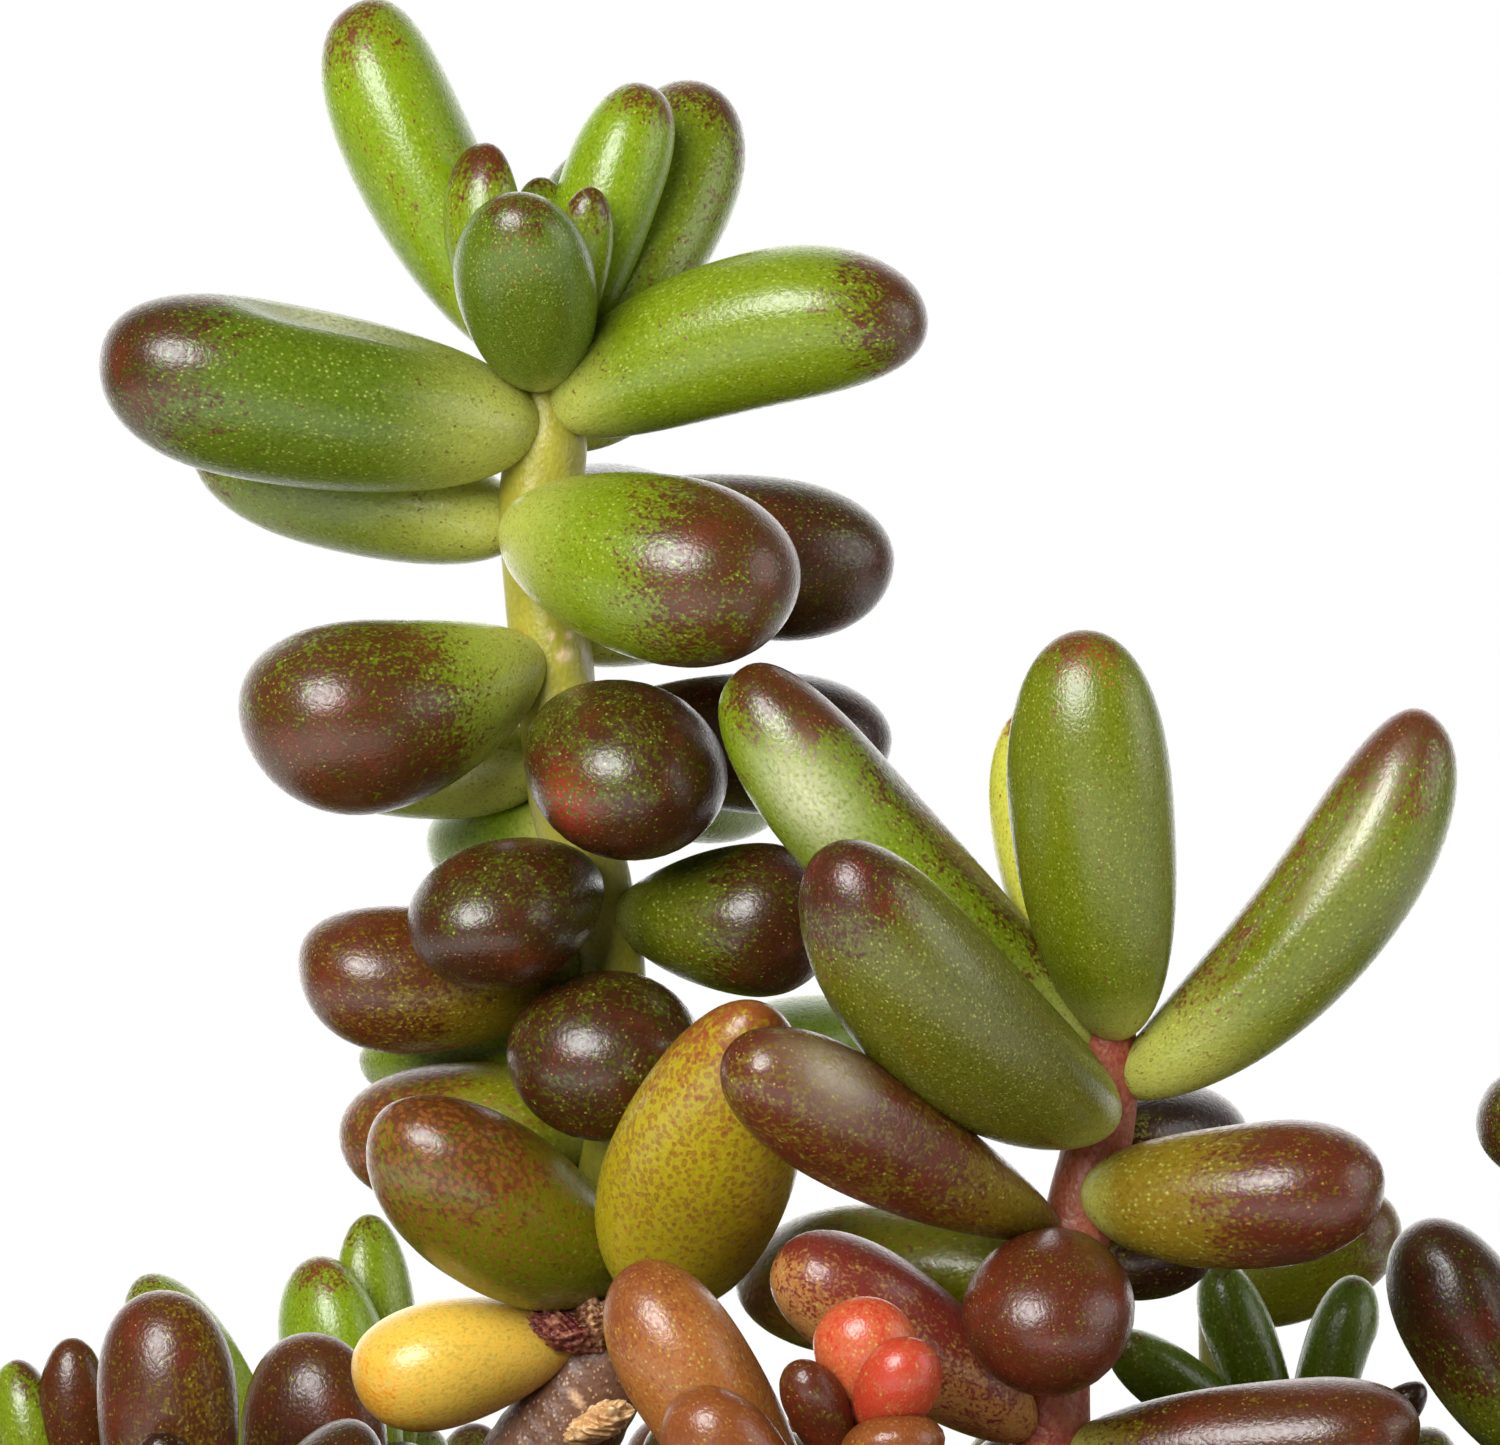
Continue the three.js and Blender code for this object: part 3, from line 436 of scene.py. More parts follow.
RIGHT_LEAVES: list[Row] = [
    ("U1", (1082, 1050, -4.2), (735, 674, -5.0), Form(3.6, 3.4, 0.64, 1.9, 2.5, -0.3),
     Look(Tint.FRESH, 0.02, 0.95, (0.6, 0.45), pale=0.3)),
    ("U2", (1112, 1126, -4.8), (830, 858, -12.6), Form(4.2, 4.1, 0.6, 2.0, 2.2, -0.8),
     Look(Tint.OLIVE, -0.06, 0.9, grain=1.2)),
    ("U3", (1120, 1040, -4.4), (1082, 632, -7.5), Form(3.95, 3.4, 0.6, 2.0, 2.2, -0.4),
     Look(Tint.SOFT, -0.14, 0.65, pale=0.2, grain=1.3)),
    ("U4", (1092, 1035, -3.9), (1030, 706, -2.5), Form(2.8, 2.3, 0.6, 2.0, 2.2, -0.3),
     Look(Tint.PALE, -0.1, 0.8)),
    ("U4b", (1110, 1030, -3.5), (1096, 634, -0.9), Form(2.6, 2.1, 0.6, 2.0, 2.0, -0.3),
     Look(Tint.SOFT, -0.05, 0.7)),
    ("U5", (1128, 1093, -4.0), (1434, 716, -5.2), Form(3.65, 3.5, 0.64, 2.1, 2.3, -0.88),
     Look(Tint.SOFT, 0.06, 0.9, (-0.42, 0.3), pale=0.4)),
    ("U6", (1080, 1196, -4.8), (1382, 1180, -7.0), Form(3.9, 3.7, 0.64, 2.1, 2.1, -0.1),
     Look(Tint.ROSY, 0.5, 0.92, (0.12, -0.05), 0.12, 0.2, 0.8)),
    ("U7", (1060, 1232, -4.2), (740, 1054, -12.4), Form(3.3, 3.2, 0.68, 1.6, 2.4, -0.1),
     Look(Tint.ROSY, 0.7, 0.8, (-0.14, 0.14), 0.0, 0.1, 0.85)),
    ("U8", (1064, 1256, -4.7), (1033, 1352, -9.2), Form(3.95, 3.85, 0.6, 1.9), Look(Tint.ROSY, 1.0, 0.98)),
    ("U9", (1105, 1136, -3.5), (1222, 1136, 1.0), Form(3.2, 2.9), Look(Tint.DARK, 1.0, 0.92)),
    ("U10", (1075, 1262, -3.5), (1205, 1222, -0.5), Form(3.2, 2.8), Look(Tint.DARK, 0.9, 0.8)),
    ("U11", (1034, 1432, -4.3), (786, 1253, -7.0), Form(3.2, 3.05, 0.64, 2.0, 2.5, 0.15),
     Look(Tint.PINK, 0.9, 0.7, (0.1, 0.42), 0.0, 0.0)),
    ("U12", (1050, 1262, -3.7), (745, 1284, 1.2), Form(4.1, 3.9),
     Look(Tint.AGED, 0.3, 0.6, (0.0, 0.0), 0.9, 0.0, 0.75)),
    ("U13", (1068, 1450, -4.6), (1420, 1426, -6.0), Form(3.3, 3.2, 0.7, 1.9, 2.1, -0.1),
     Look(Tint.RUDDY, 0.8, 0.95, (0.0, 0.1))),
]
FRONT_LEAVES: list[Row] = [
    ("F1", (808, 1560, -10.0), (630, 1265, -9.8), Form(3.3, 3.2, 0.66, 1.8, 2.2),
     Look(Tint.ORANGE, 0.15, 0.7, (-0.15, 0.0))),
    ("F2", (800, 1575, -10.4), (690, 1396, -13.0), Form(2.9, 2.7, 0.6, 2.0, 2.2),
     Look(Tint.ORANGE, 0.6, 0.8)),
    ("F3", (846, 1470, -10.2), (798, 1364, -12.0), Form(1.5, 1.4, 0.66, 1.8, 2.1),
     Look(Tint.ROSY, 1.0, 0.95)),
    ("F4", (870, 1412, -10.0), (864, 1303, -11.6), Form(2.45, 2.1), Look(Tint.SALMON, 0.3, 0.5)),
    ("F5", (876, 1430, -10.1), (912, 1348, -12.4), Form(2.0, 1.9), Look(Tint.SALMON, 0.9, 0.8)),
    ("F6", (862, 1455, -10.0), (916, 1436, -12.6), Form(2.3, 1.6), Look(Tint.ORANGE, 0.8, 0.8)),
]
LEFT_1_LEAVES: list[Row] = [
    ("L1", (176, 1570, 0.6), (162, 1291, 0), Form(3.6, 3.1, 0.6, 2.0, 2.2),
     Look(Tint.RUDDY, 0.7, 0.8, (-0.2, 0.14))),
    ("L8", (180, 1600, 0.2), (160, 1434, -2.2), Form(1.9, 1.7, 0.6, 2.0, 2.1), Look(Tint.DARK, 1.0, 0.9)),
]
LEFT_2_LEAVES: list[Row] = [
    ("L3", (322, 1590, 8), (311, 1333, 7.6), Form(3.9, 3.2, 0.55, 2.0, 2.2), Look(Tint.RUDDY, 0.9, 0.9)),
    ("L2", (312, 1585, 8.5), (143, 1277, 12.5), Form(2.8, 2.5, 0.68, 1.9, 2.1), Look(Tint.FRESH, 0.0, 0.5)),
]
LEFT_3_LEAVES: list[Row] = [
    ("L4", (378, 1530, 15.1), (316, 1257, 14.4), Form(3.5, 2.9, 0.6, 2.0, 2.1),
     Look(Tint.BRIGHT, -0.06, 0.6)),
    ("L5", (392, 1500, 15.3), (368, 1214, 16.2), Form(2.2, 2.0, 0.6, 2.0, 2.1),
     Look(Tint.FRESH, -0.08, 0.5)),
]
LEFT_4_LEAVES: list[Row] = [
    ("L6", (78, 1560, 11), (72, 1338, 10.2), Form(1.95, 1.8, 0.6, 2.0, 2.1),
     Look(Tint.RUDDY, 0.9, 0.95, pale=0.3)),
    ("L7", (68, 1590, 11.2), (14, 1360, 10.8), Form(2.3, 2.1, 0.6, 2.0, 2.1),
     Look(Tint.FRESH, 0.0, 0.6, (0.4, 0.3))),
]
EDGE_1_LEAVES: list[Row] = [
    ("R1", (1556, 1472, 0.5), (1415, 1224, 0), Form(3.5, 3.3, 0.6, 2.0, 2.2),
     Look(Tint.BALL, 0.6, 0.9, (0.0, 0.16))),
]
EDGE_2_LEAVES: list[Row] = [
    ("R2", (1645, 1165, -1.2), (1484, 1096, -1.6), Form(3.0, 2.8, 0.62, 2.0, 2.3),
     Look(Tint.BALL, 0.7, 0.8)),
]
EDGE_3_LEAVES: list[Row] = [
    ("R3", (1226, 1305, 14), (1394, 1208, 13), Form(3.0, 2.9, 0.62, 2.0, 2.1), Look(Tint.AGED, 0.3, 0.6)),
]
EDGE_4_LEAVES: list[Row] = [
    ("R4a", (1286, 1465, 7.5), (1216, 1262, 7.0), Form(2.1, 1.9, 0.6, 2.0, 2.2),
     Look(Tint.GREEN, -0.1, 0.4)),
    ("R4b", (1300, 1470, 7.7), (1358, 1276, 7.5), Form(2.2, 1.9, 0.62, 2.0, 2.2),
     Look(Tint.GREEN, -0.1, 0.4)),
    ("R4c", (1282, 1460, 7.3), (1112, 1336, 5.2), Form(2.0, 1.8, 0.62, 2.0, 2.2),
     Look(Tint.GREEN, -0.1, 0.4)),
    ("R5", (1302, 1490, 7.3), (1424, 1385, 6.0), Form(1.3, 1.2, 0.64, 2.0, 2.1), Look(Tint.DARK, 1.0, 0.9)),
]
# Shallow grooves, whose strength is their depth in mm.
DENTS: dict[str, Patch] = {
    "T10": Patch(66, 0.2, 0.8, 0.24, 0.34, 0.2),
    "T16": Patch(120, 0.1, 0.6, 0.7, 0.12, 0.2),
    "T9": Patch(75, 0.1, 0.7, 0.5, 0.1, 0.2),
    "U5": Patch(146, 0.2, 0.9, 0.24, 0.3, 0.2),
    "U1": Patch(60, 0.2, 0.8, 0.4, 0.1, 0.2),
    "R4a": Patch(-90, 0.1, 0.8, 0.4, 0.2, 0.2),
    "R4b": Patch(-90, 0.1, 0.8, 0.4, 0.2, 0.2),
}
# Pale patches of painted sheen: highlights and reflections painted into the leaves' colour.
PAINTED_SHEENS: dict[str, Patch] = {
    "T10": Patch(74, 0.2, 0.8, 0.3, 0.6),
    "U1": Patch(-22, 0.55, 0.95, 0.5, 0.55),
    "U5": Patch(168, 0.45, 1.0, 0.24, 0.45),
    "U7": Patch(20, 0.7, 1.02, 0.6, 0.3),
}
# Red patches in the flush.
BLUSHES: dict[str, Patch] = {
    "T18": Patch(188, 0.62, 0.98, 0.45, 0.5),
    "T2": Patch(-90, 0.66, 1.0, 0.5, 0.7),
    "U3": Patch(-60, 0.84, 1.02, 0.5, 0.6),
}
BLUSH = np.array(linear(186, 52, 34))


class Skin(Enum):
    """Stem skins: colour at the top and at the foot, the speckle's colour and cover, and share of bark."""

    GREEN_TO_WOOD = (linear(162, 156, 48), linear(116, 80, 60), linear(150, 110, 44), 0.06, 1.0)
    PINK = (linear(170, 96, 62), linear(186, 92, 78), linear(140, 44, 38), 0.45, 0.0)
    GREEN = (linear(150, 156, 60), linear(150, 130, 70), linear(140, 90, 50), 0.25, 0.2)
    WOOD = (linear(140, 100, 62), linear(104, 72, 48), linear(150, 120, 90), 0.2, 1.0)


@dataclass(frozen=True)
class Scar:
    """A dry mark on a stem: its middle and half sizes in the photograph's pixels, its lean and its colour."""

    column: float
    row: float
    half_width: float
    half_height: float
    lean: float
    colour: tuple[float, ...]

    def share(self, rows: np.ndarray, columns: np.ndarray) -> np.ndarray:
        """How much each point is inside the mark: one in its middle, falling off by a flat-topped bell curve.

        Args:
            rows: Pixel rows of the points.
            columns: Pixel columns of the points.

        Returns:
            A share for each point.
        """
        across, down = columns - self.column, rows - self.row
        along = down * math.cos(self.lean) + across * math.sin(self.lean)
        beside = across * math.cos(self.lean) - down * math.sin(self.lean)
        return np.exp(-((along / self.half_height) ** 2 + (beside / self.half_width) ** 2) ** 2)


PALE_SCAR = linear(224, 198, 150)
SCARS = (
    Scar(565, 655, 9, 7, 0.4, PALE_SCAR),
    Scar(551, 636, 4, 4, 0.0, PALE_SCAR),
    Scar(569, 635, 4, 4, 0.0, PALE_SCAR),
    Scar(521, 637, 4, 10, 0.8, linear(150, 84, 44)),
    Scar(589, 668, 4.5, 26, 0.25, linear(206, 200, 176)),
    Scar(577, 1399, 4, 11, 0.6, linear(236, 196, 152)),
)


@dataclass(frozen=True)
class Planting:
    """A placed shoot: its skin, where its foot stands, its leaves in view, how many leaves the rule adds,
    and its stem from the top down as pixel column, pixel row, mm behind the stem plane and radius."""

    name: str
    skin: Skin
    foot: tuple[float, float]
    leaves: list[Row]
    extra: int
    stem: list[tuple[float, float, float, float]]
    scraps: list[Row] = field(default_factory=list)


PLANTINGS: list[Planting] = [
    Planting("tall_shoot", Skin.GREEN_TO_WOOD, (-6, -6.6), TALL_LEAVES, 0, [
        (548, 340, 0.1, 0.6), (545, 440, 0, 0.95), (541, 500, 0, 0.98), (543, 560, 0, 0.95),
        (549, 640, 0, 0.92), (560, 720, 0, 0.92), (568, 790, 0, 0.92), (588, 870, 0, 0.9),
        (604, 950, 0, 0.9), (613, 1050, 0, 0.95), (620, 1160, 0, 1.0), (622, 1260, 0, 1.1),
        (606, 1345, 0, 1.3), (570, 1415, 0.1, 1.38), (530, 1480, 0.3, 1.38), (505, 1570, 0.4, 1.35),
    ], TALL_SCRAPS),
    Planting("right_shoot", Skin.PINK, (7, -11), RIGHT_LEAVES, 2, [
        (1108, 1010, -4, 0.55), (1106, 1100, -4, 0.7), (1092, 1165, -4, 0.78), (1078, 1220, -4, 0.8),
        (1064, 1290, -4, 0.82), (1054, 1370, -4, 0.85), (1050, 1450, -4, 0.9), (1046, 1560, -4, 0.95),
    ]),
    Planting("front_shoot", Skin.PINK, (1, -17), FRONT_LEAVES, 4, [
        (874, 1400, -9.9, 0.4), (862, 1450, -9.9, 0.6), (836, 1510, -9.9, 0.8), (806, 1570, -9.9, 0.85),
        (795, 1640, -9.9, 0.85),
    ]),
    Planting("left_shoot_1", Skin.WOOD, (-13.7, -6.5), LEFT_1_LEAVES, 7,
             [(177, 1550, 0.5, 0.6), (178, 1620, 0.5, 0.85)]),
    Planting("left_shoot_2", Skin.WOOD, (-10.8, 1), LEFT_2_LEAVES, 6,
             [(318, 1570, 8.1, 0.6), (318, 1640, 8, 0.85)]),
    Planting("left_shoot_3", Skin.GREEN, (-9.4, 8.2), LEFT_3_LEAVES, 6,
             [(386, 1490, 15.2, 0.6), (386, 1560, 15.2, 0.8)]),
    Planting("left_shoot_4", Skin.PINK, (-17.2, 4.1), LEFT_4_LEAVES, 7,
             [(73, 1545, 11.1, 0.6), (72, 1610, 11.1, 0.8)]),
    Planting("right_edge_shoot_1", Skin.WOOD, (19.4, -6.5), EDGE_1_LEAVES, 8,
             [(1558, 1450, 0.5, 0.6), (1558, 1540, 0.5, 0.85)]),
    Planting("right_edge_shoot_2", Skin.GREEN, (22.6, -10.5), EDGE_2_LEAVES, 9,
             [(1650, 1170, -1.4, 0.55), (1672, 1260, -2, 0.75), (1702, 1400, -3, 0.85)]),
    Planting("right_edge_shoot_3", Skin.GREEN, (12.2, 7), EDGE_3_LEAVES, 7,
             [(1222, 1290, 14, 0.5), (1225, 1400, 14, 0.75), (1225, 1500, 14, 0.85)]),
    Planting("right_edge_shoot_4", Skin.GREEN, (13.5, 0.4), EDGE_4_LEAVES, 5,
             [(1292, 1445, 7.5, 0.5), (1292, 1540, 7.5, 0.8)]),
]
# These two leaves start where they are seen to start, because their bases clasp the stem from in front.
CLASPING = ("T12", "T30")


@dataclass
class Surface:
    """A mesh in the making: points, faces and what each point carries."""

    points: np.ndarray
    faces: list[list[int]]
    fields: dict[str, np.ndarray]

    @staticmethod
    def joined(parts: list["Surface"]) -> "Surface":
        """Puts several surfaces in one, side by side.

        Args:
            parts: Surfaces with the same fields.

        Returns:
            One surface.
        """
        faces: list[list[int]] = []
        start = 0
        for part in parts:
            faces.extend([start + corner for corner in face] for face in part.faces)
            start += len(part.points)
        fields = {name: np.concatenate([part.fields[name] for part in parts]) for name in parts[0].fields}
        return Surface(np.concatenate([part.points for part in parts]), faces, fields)

    def piece(self, name: str, material: bpy.types.Material, slot: str, nodes: tuple[str, ...]) -> None:
        """Makes the Blender object, smooth, riding on the one body.

        Args:
            name: The piece's name.
            material: Its material.
            slot: The record's material slot, which is not used.
            nodes: The solids that it stands for.
        """
        mesh = bpy.data.meshes.new(name)
        mesh.from_pydata((self.points * MM).tolist(), [], self.faces)
        mesh.polygons.foreach_set("use_smooth", np.ones(len(self.faces), bool))
        kinds = {1: ("FLOAT", "value"), 3: ("FLOAT_VECTOR", "vector"), 4: ("FLOAT_COLOR", "color")}
        for field_name, values in self.fields.items():
            kind, key = kinds[1 if values.ndim == 1 else values.shape[1]]
            attribute = mesh.attributes.new(field_name, kind, "POINT")
            attribute.data.foreach_set(key, values.astype(np.float32).ravel())
        mesh.materials.append(material)
        mesh.update()
        made = put(name, mesh)
        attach(made, BODY)
        if nodes:
            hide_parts(*nodes)
        LOG.info("%s: %d faces", name, len(self.faces))


def round_faces(rings: int, sides: int) -> list[list[int]]:
    """Faces of a closed grid: a pole, rings of points one after the other, and a pole.

    Args:
        rings: How many rings.
        sides: How many points a ring has.

    Returns:
        Faces that point out where the rings run anticlockwise as seen from the far end.
    """
    ring, side = np.meshgrid(np.arange(rings - 1), np.arange(sides), indexing="ij")
    here = 1 + ring * sides + side
    after = 1 + ring * sides + (side + 1) % sides
    quads = np.stack([here, after, after + sides, here + sides], -1).reshape(-1, 4)
    edge = np.arange(sides)
    turned = (edge + 1) % sides
    last = 1 + rings * sides
    end = last - sides
    first_cap = np.stack([np.zeros(sides, int), 1 + turned, 1 + edge], -1)
    last_cap = np.stack([np.full(sides, last), end + edge, end + turned], -1)
    return quads.tolist() + first_cap.tolist() + last_cap.tolist()


@dataclass
class Leaf:
    """One plump leaf: a bent rod of oval section, rounded at both ends.

    Its section has lobes and a ripple (height and waves along it). The flush fades over flush_fade on each
    side of its edge, its bias starts over the young part and the brown rings over the dotted part. A dry leaf
    is crumpled by folds, each with its waves for each mm and its height.
    """

    name: str
    base: np.ndarray
    tip: np.ndarray
    form: Form
    look: Look
    upper_flatness: float = 0.12
    lobes: tuple[tuple[int, float, float], ...] = ((2, 0.014, 4.0), (3, 0.010, -6.0))
    ripple: tuple[float, float] = (0.012, 7.0)
    flush_fade: float = 0.25
    most_cover: float = 1.05
    young: tuple[float, float] = (0.05, 0.3)
    dotted: tuple[float, float] = (0.1, 0.7)
    pale_share: float = 0.9
    grain_along: float = 0.8
    grain_shift: float = 40.0
    test_heights: tuple[float, ...] = (0.12, 0.3, 0.48, 0.66, 0.82, 0.93)
    folds: tuple[tuple[float, float], ...] = ((4.0, 0.12), (9.0, 0.1), (18.0, 0.07))
    fold_middle: float = 0.36
    fold_height: float = 0.57
    fold_shift: float = 6.0
    crumpling: float = 1.5
    fold_cover: float = 0.35

    def __post_init__(self) -> None:
        """Works out the leaf's own axes: along it, up at right angles to it, and to its side."""
        along = self.tip - self.base
        self.length = float(np.linalg.norm(along))
        self.along = along / self.length
        self.up = unit(np.array([0.0, 0.0, 1.0]) - self.along * self.along[2])
        self.side = np.cross(self.along, self.up)

    def outline(self, height: np.ndarray) -> np.ndarray:
        """Half width at heights from 0 to 1, as a share of the greatest: (1 - x^k)^(1/k) on both sides of it.

        Args:
            height: Places along the leaf.

        Returns:
            The share at each place.
        """
        widest = self.form.widest
        low = height < widest
        x = np.where(low, (widest - height) / widest, (height - widest) / (1 - widest))
        blunt = np.where(low, self.form.base_blunt, self.form.tip_blunt)
        return np.maximum(0, 1 - x ** blunt) ** (1 / blunt)

    def centre(self, height: np.ndarray) -> np.ndarray:
        """The middle line: straight from end to end plus a parabola that bows it up.

        Args:
            height: Places along the leaf.

        Returns:
            One point a row.
        """
        bow = self.form.bow * 4 * height * (1 - height)
        return self.base + np.outer(height * self.length, self.along) + np.outer(bow, self.up)

    def patch(self, patches: dict[str, Patch], tall: np.ndarray, turn: np.ndarray) -> np.ndarray:
        """How strong this leaf's patch is at each point, which is nothing where it has none."""
        patch = patches.get(self.name)
        return patch.share(tall, turn) if patch else np.zeros_like(tall)

    def surface(self, rings: int, sides: int, seed: int) -> Surface:
        """The leaf's skin: an oval at each height, flatter above, uneven by low waves, with its dent.

        Args:
            rings: Rings of points along it, closer towards its ends.
            sides: Points round it.
            seed: Picks the waves and the pattern's place.

        Returns:
            The surface with its colours.
        """
        draw = np.random.default_rng(seed)
        wave = draw.uniform(0, 2 * math.pi, 5)
        height = (1 - np.cos(math.pi * np.arange(1, rings + 1) / (rings + 1))) / 2
        tall, turn = np.meshgrid(height, circle(sides), indexing="ij")
        ripple_height, ripples = self.ripple
        uneven = lobed(self.lobes, turn, tall, wave)
        uneven += ripple_height * np.sin(turn + wave[2]) * np.sin(ripples * tall + wave[3])
        width, thickness = self.form.width / 2, self.form.thickness / 2
        radius = self.outline(tall) * uneven - self.patch(DENTS, tall, turn) / width
        flat = np.where(np.sin(turn) > 0, 1 - self.upper_flatness, 1.0)
        across = -np.cos(turn) * radius * width
        above = np.sin(turn) * flat * radius * thickness
        skin = self.centre(tall.ravel()) + np.outer(across, self.side) + np.outer(above, self.up)
        ends = self.centre(np.array([0.0, 1.0]))
        out = np.outer(np.sin(turn), self.up) - np.outer(np.cos(turn), self.side)
        heights = with_ends(0, tall, 1)
        along = heights * self.length * self.grain_along
        local = np.stack([with_ends(0, across, 0), with_ends(0, above, 0), along], -1)
        fields = self.colours(heights, np.concatenate([[-self.along], out, [self.along]]))
        # Painted sheen: the pale patches that stand in for highlights go into their own field.
        fields["clay_bloom_and_painted_sheen"] = with_ends(0, self.patch(PAINTED_SHEENS, tall, turn), 0)
        blush = with_ends(0, self.patch(BLUSHES, tall, turn), 0)[:, None]
        fields["flush"][:, :3] += (BLUSH - fields["flush"][:, :3]) * blush
        fields["place"] = local * self.look.grain + draw.uniform(-self.grain_shift, self.grain_shift, 3)
        return Surface(np.concatenate([ends[:1], skin, ends[1:]]), round_faces(rings, sides), fields)

    def colours(self, height: np.ndarray, out: np.ndarray) -> dict[str, np.ndarray]:
        """The ground colour, paler at the base, and how much the flush covers it: from the tip down, and more
        on the side that the bias points to.

        Args:
            height: Places along the leaf.
            out: The outward direction at each point.

        Returns:
            The fields ground, flush, cover and dots.
        """
        look = self.look
        ground, flush = np.array(look.tint.value)
        pale = smoothstep(look.pale, 0.0, height) * self.pale_share if look.pale else np.zeros(len(height))
        edge = 1 - look.reach
        from_tip = smoothstep(edge - self.flush_fade, min(1.0, edge + self.flush_fade), height)
        bias = out[:, 0] * look.bias[0] + out[:, 2] * look.bias[1]
        cover = look.strength * from_tip + bias * smoothstep(*self.young, height)
        return {
            "ground": opaque(np.outer(1 - pale, ground) + np.outer(pale, PALE_BASE)),
            "flush": opaque(np.tile(flush, (len(height), 1))),
            "cover": np.clip(cover, 0, self.most_cover),
            "dots": look.dots * smoothstep(*self.dotted, height),
        }

    def scrap_surface(self, rings: int, sides: int, seed: int) -> Surface:
        """A dry crumpled leaf: the leaf's skin pushed in and out by sharp folded waves of several sizes.

        Args:
            rings: Rings of points along it.
            sides: Points round it.
            seed: Picks the folds.

        Returns:
            The surface with its colours, paler on the folds.
        """
        made = self.surface(rings, sides, seed)
        draw = np.random.default_rng(seed + 1)
        middle = made.points.mean(0)
        offset = made.points - middle
        folded = np.zeros(len(offset))
        for waves, height in self.folds:
            direction = draw.normal(size=(3, 3))
            along = offset @ direction.T / np.linalg.norm(direction, axis=1)
            phase = along * waves + draw.uniform(0, self.fold_shift, 3)
            folded += height * (self.fold_middle - np.abs(np.sin(phase)) * self.fold_height).sum(1)
        made.points = middle + offset * (1 + folded[:, None] * self.crumpling)
        made.fields["cover"] = np.clip(self.fold_cover + folded * self.crumpling, 0, 1)
        return made

    def spheres(self) -> tuple[np.ndarray, np.ndarray, np.ndarray]:
        """Centres, radii and heights of the balls that stand for the leaf when distances are tested."""
        height = np.array(self.test_heights)
        return self.centre(height), self.outline(height) * self.form.width / 2, height


def stem_curve(points: np.ndarray, share: np.ndarray) -> tuple[np.ndarray, np.ndarray]:
    """A centripetal Catmull-Rom curve through points, and its direction.

    Each stretch is a cubic whose end slopes come from the square roots of the distances between the points.

    Args:
        points: The points, one a row.
        share: Places along it, 0 at the first point and 1 at the last, equal steps from point to point.

    Returns:
        Places and unit directions, one a row.
    """
    padded = np.vstack([2 * points[0] - points[1], points, 2 * points[-1] - points[-2]])
    step = np.maximum(np.linalg.norm(np.diff(padded, axis=0), axis=1) ** 0.5, 1e-4)[:, None]
    along = share * (len(points) - 1)
    index = np.minimum(along.astype(int), len(points) - 2)
    t = (along - index)[:, None]
    p0, p1, p2, p3 = (padded[index + offset] for offset in range(4))
    d0, d1, d2 = (step[index + offset] for offset in range(3))
    slope_1 = ((p1 - p0) / d0 - (p2 - p0) / (d0 + d1) + (p2 - p1) / d1) * d1
    slope_2 = ((p2 - p1) / d1 - (p3 - p1) / (d1 + d2) + (p3 - p2) / d2) * d1
    c2 = -3 * p1 + 3 * p2 - 2 * slope_1 - slope_2
    c3 = 2 * p1 - 2 * p2 + slope_1 + slope_2
    place = p1 + slope_1 * t + c2 * t ** 2 + c3 * t ** 3
    direction = slope_1 + 2 * c2 * t + 3 * c3 * t ** 2
    return place, direction / np.linalg.norm(direction, axis=1)[:, None]


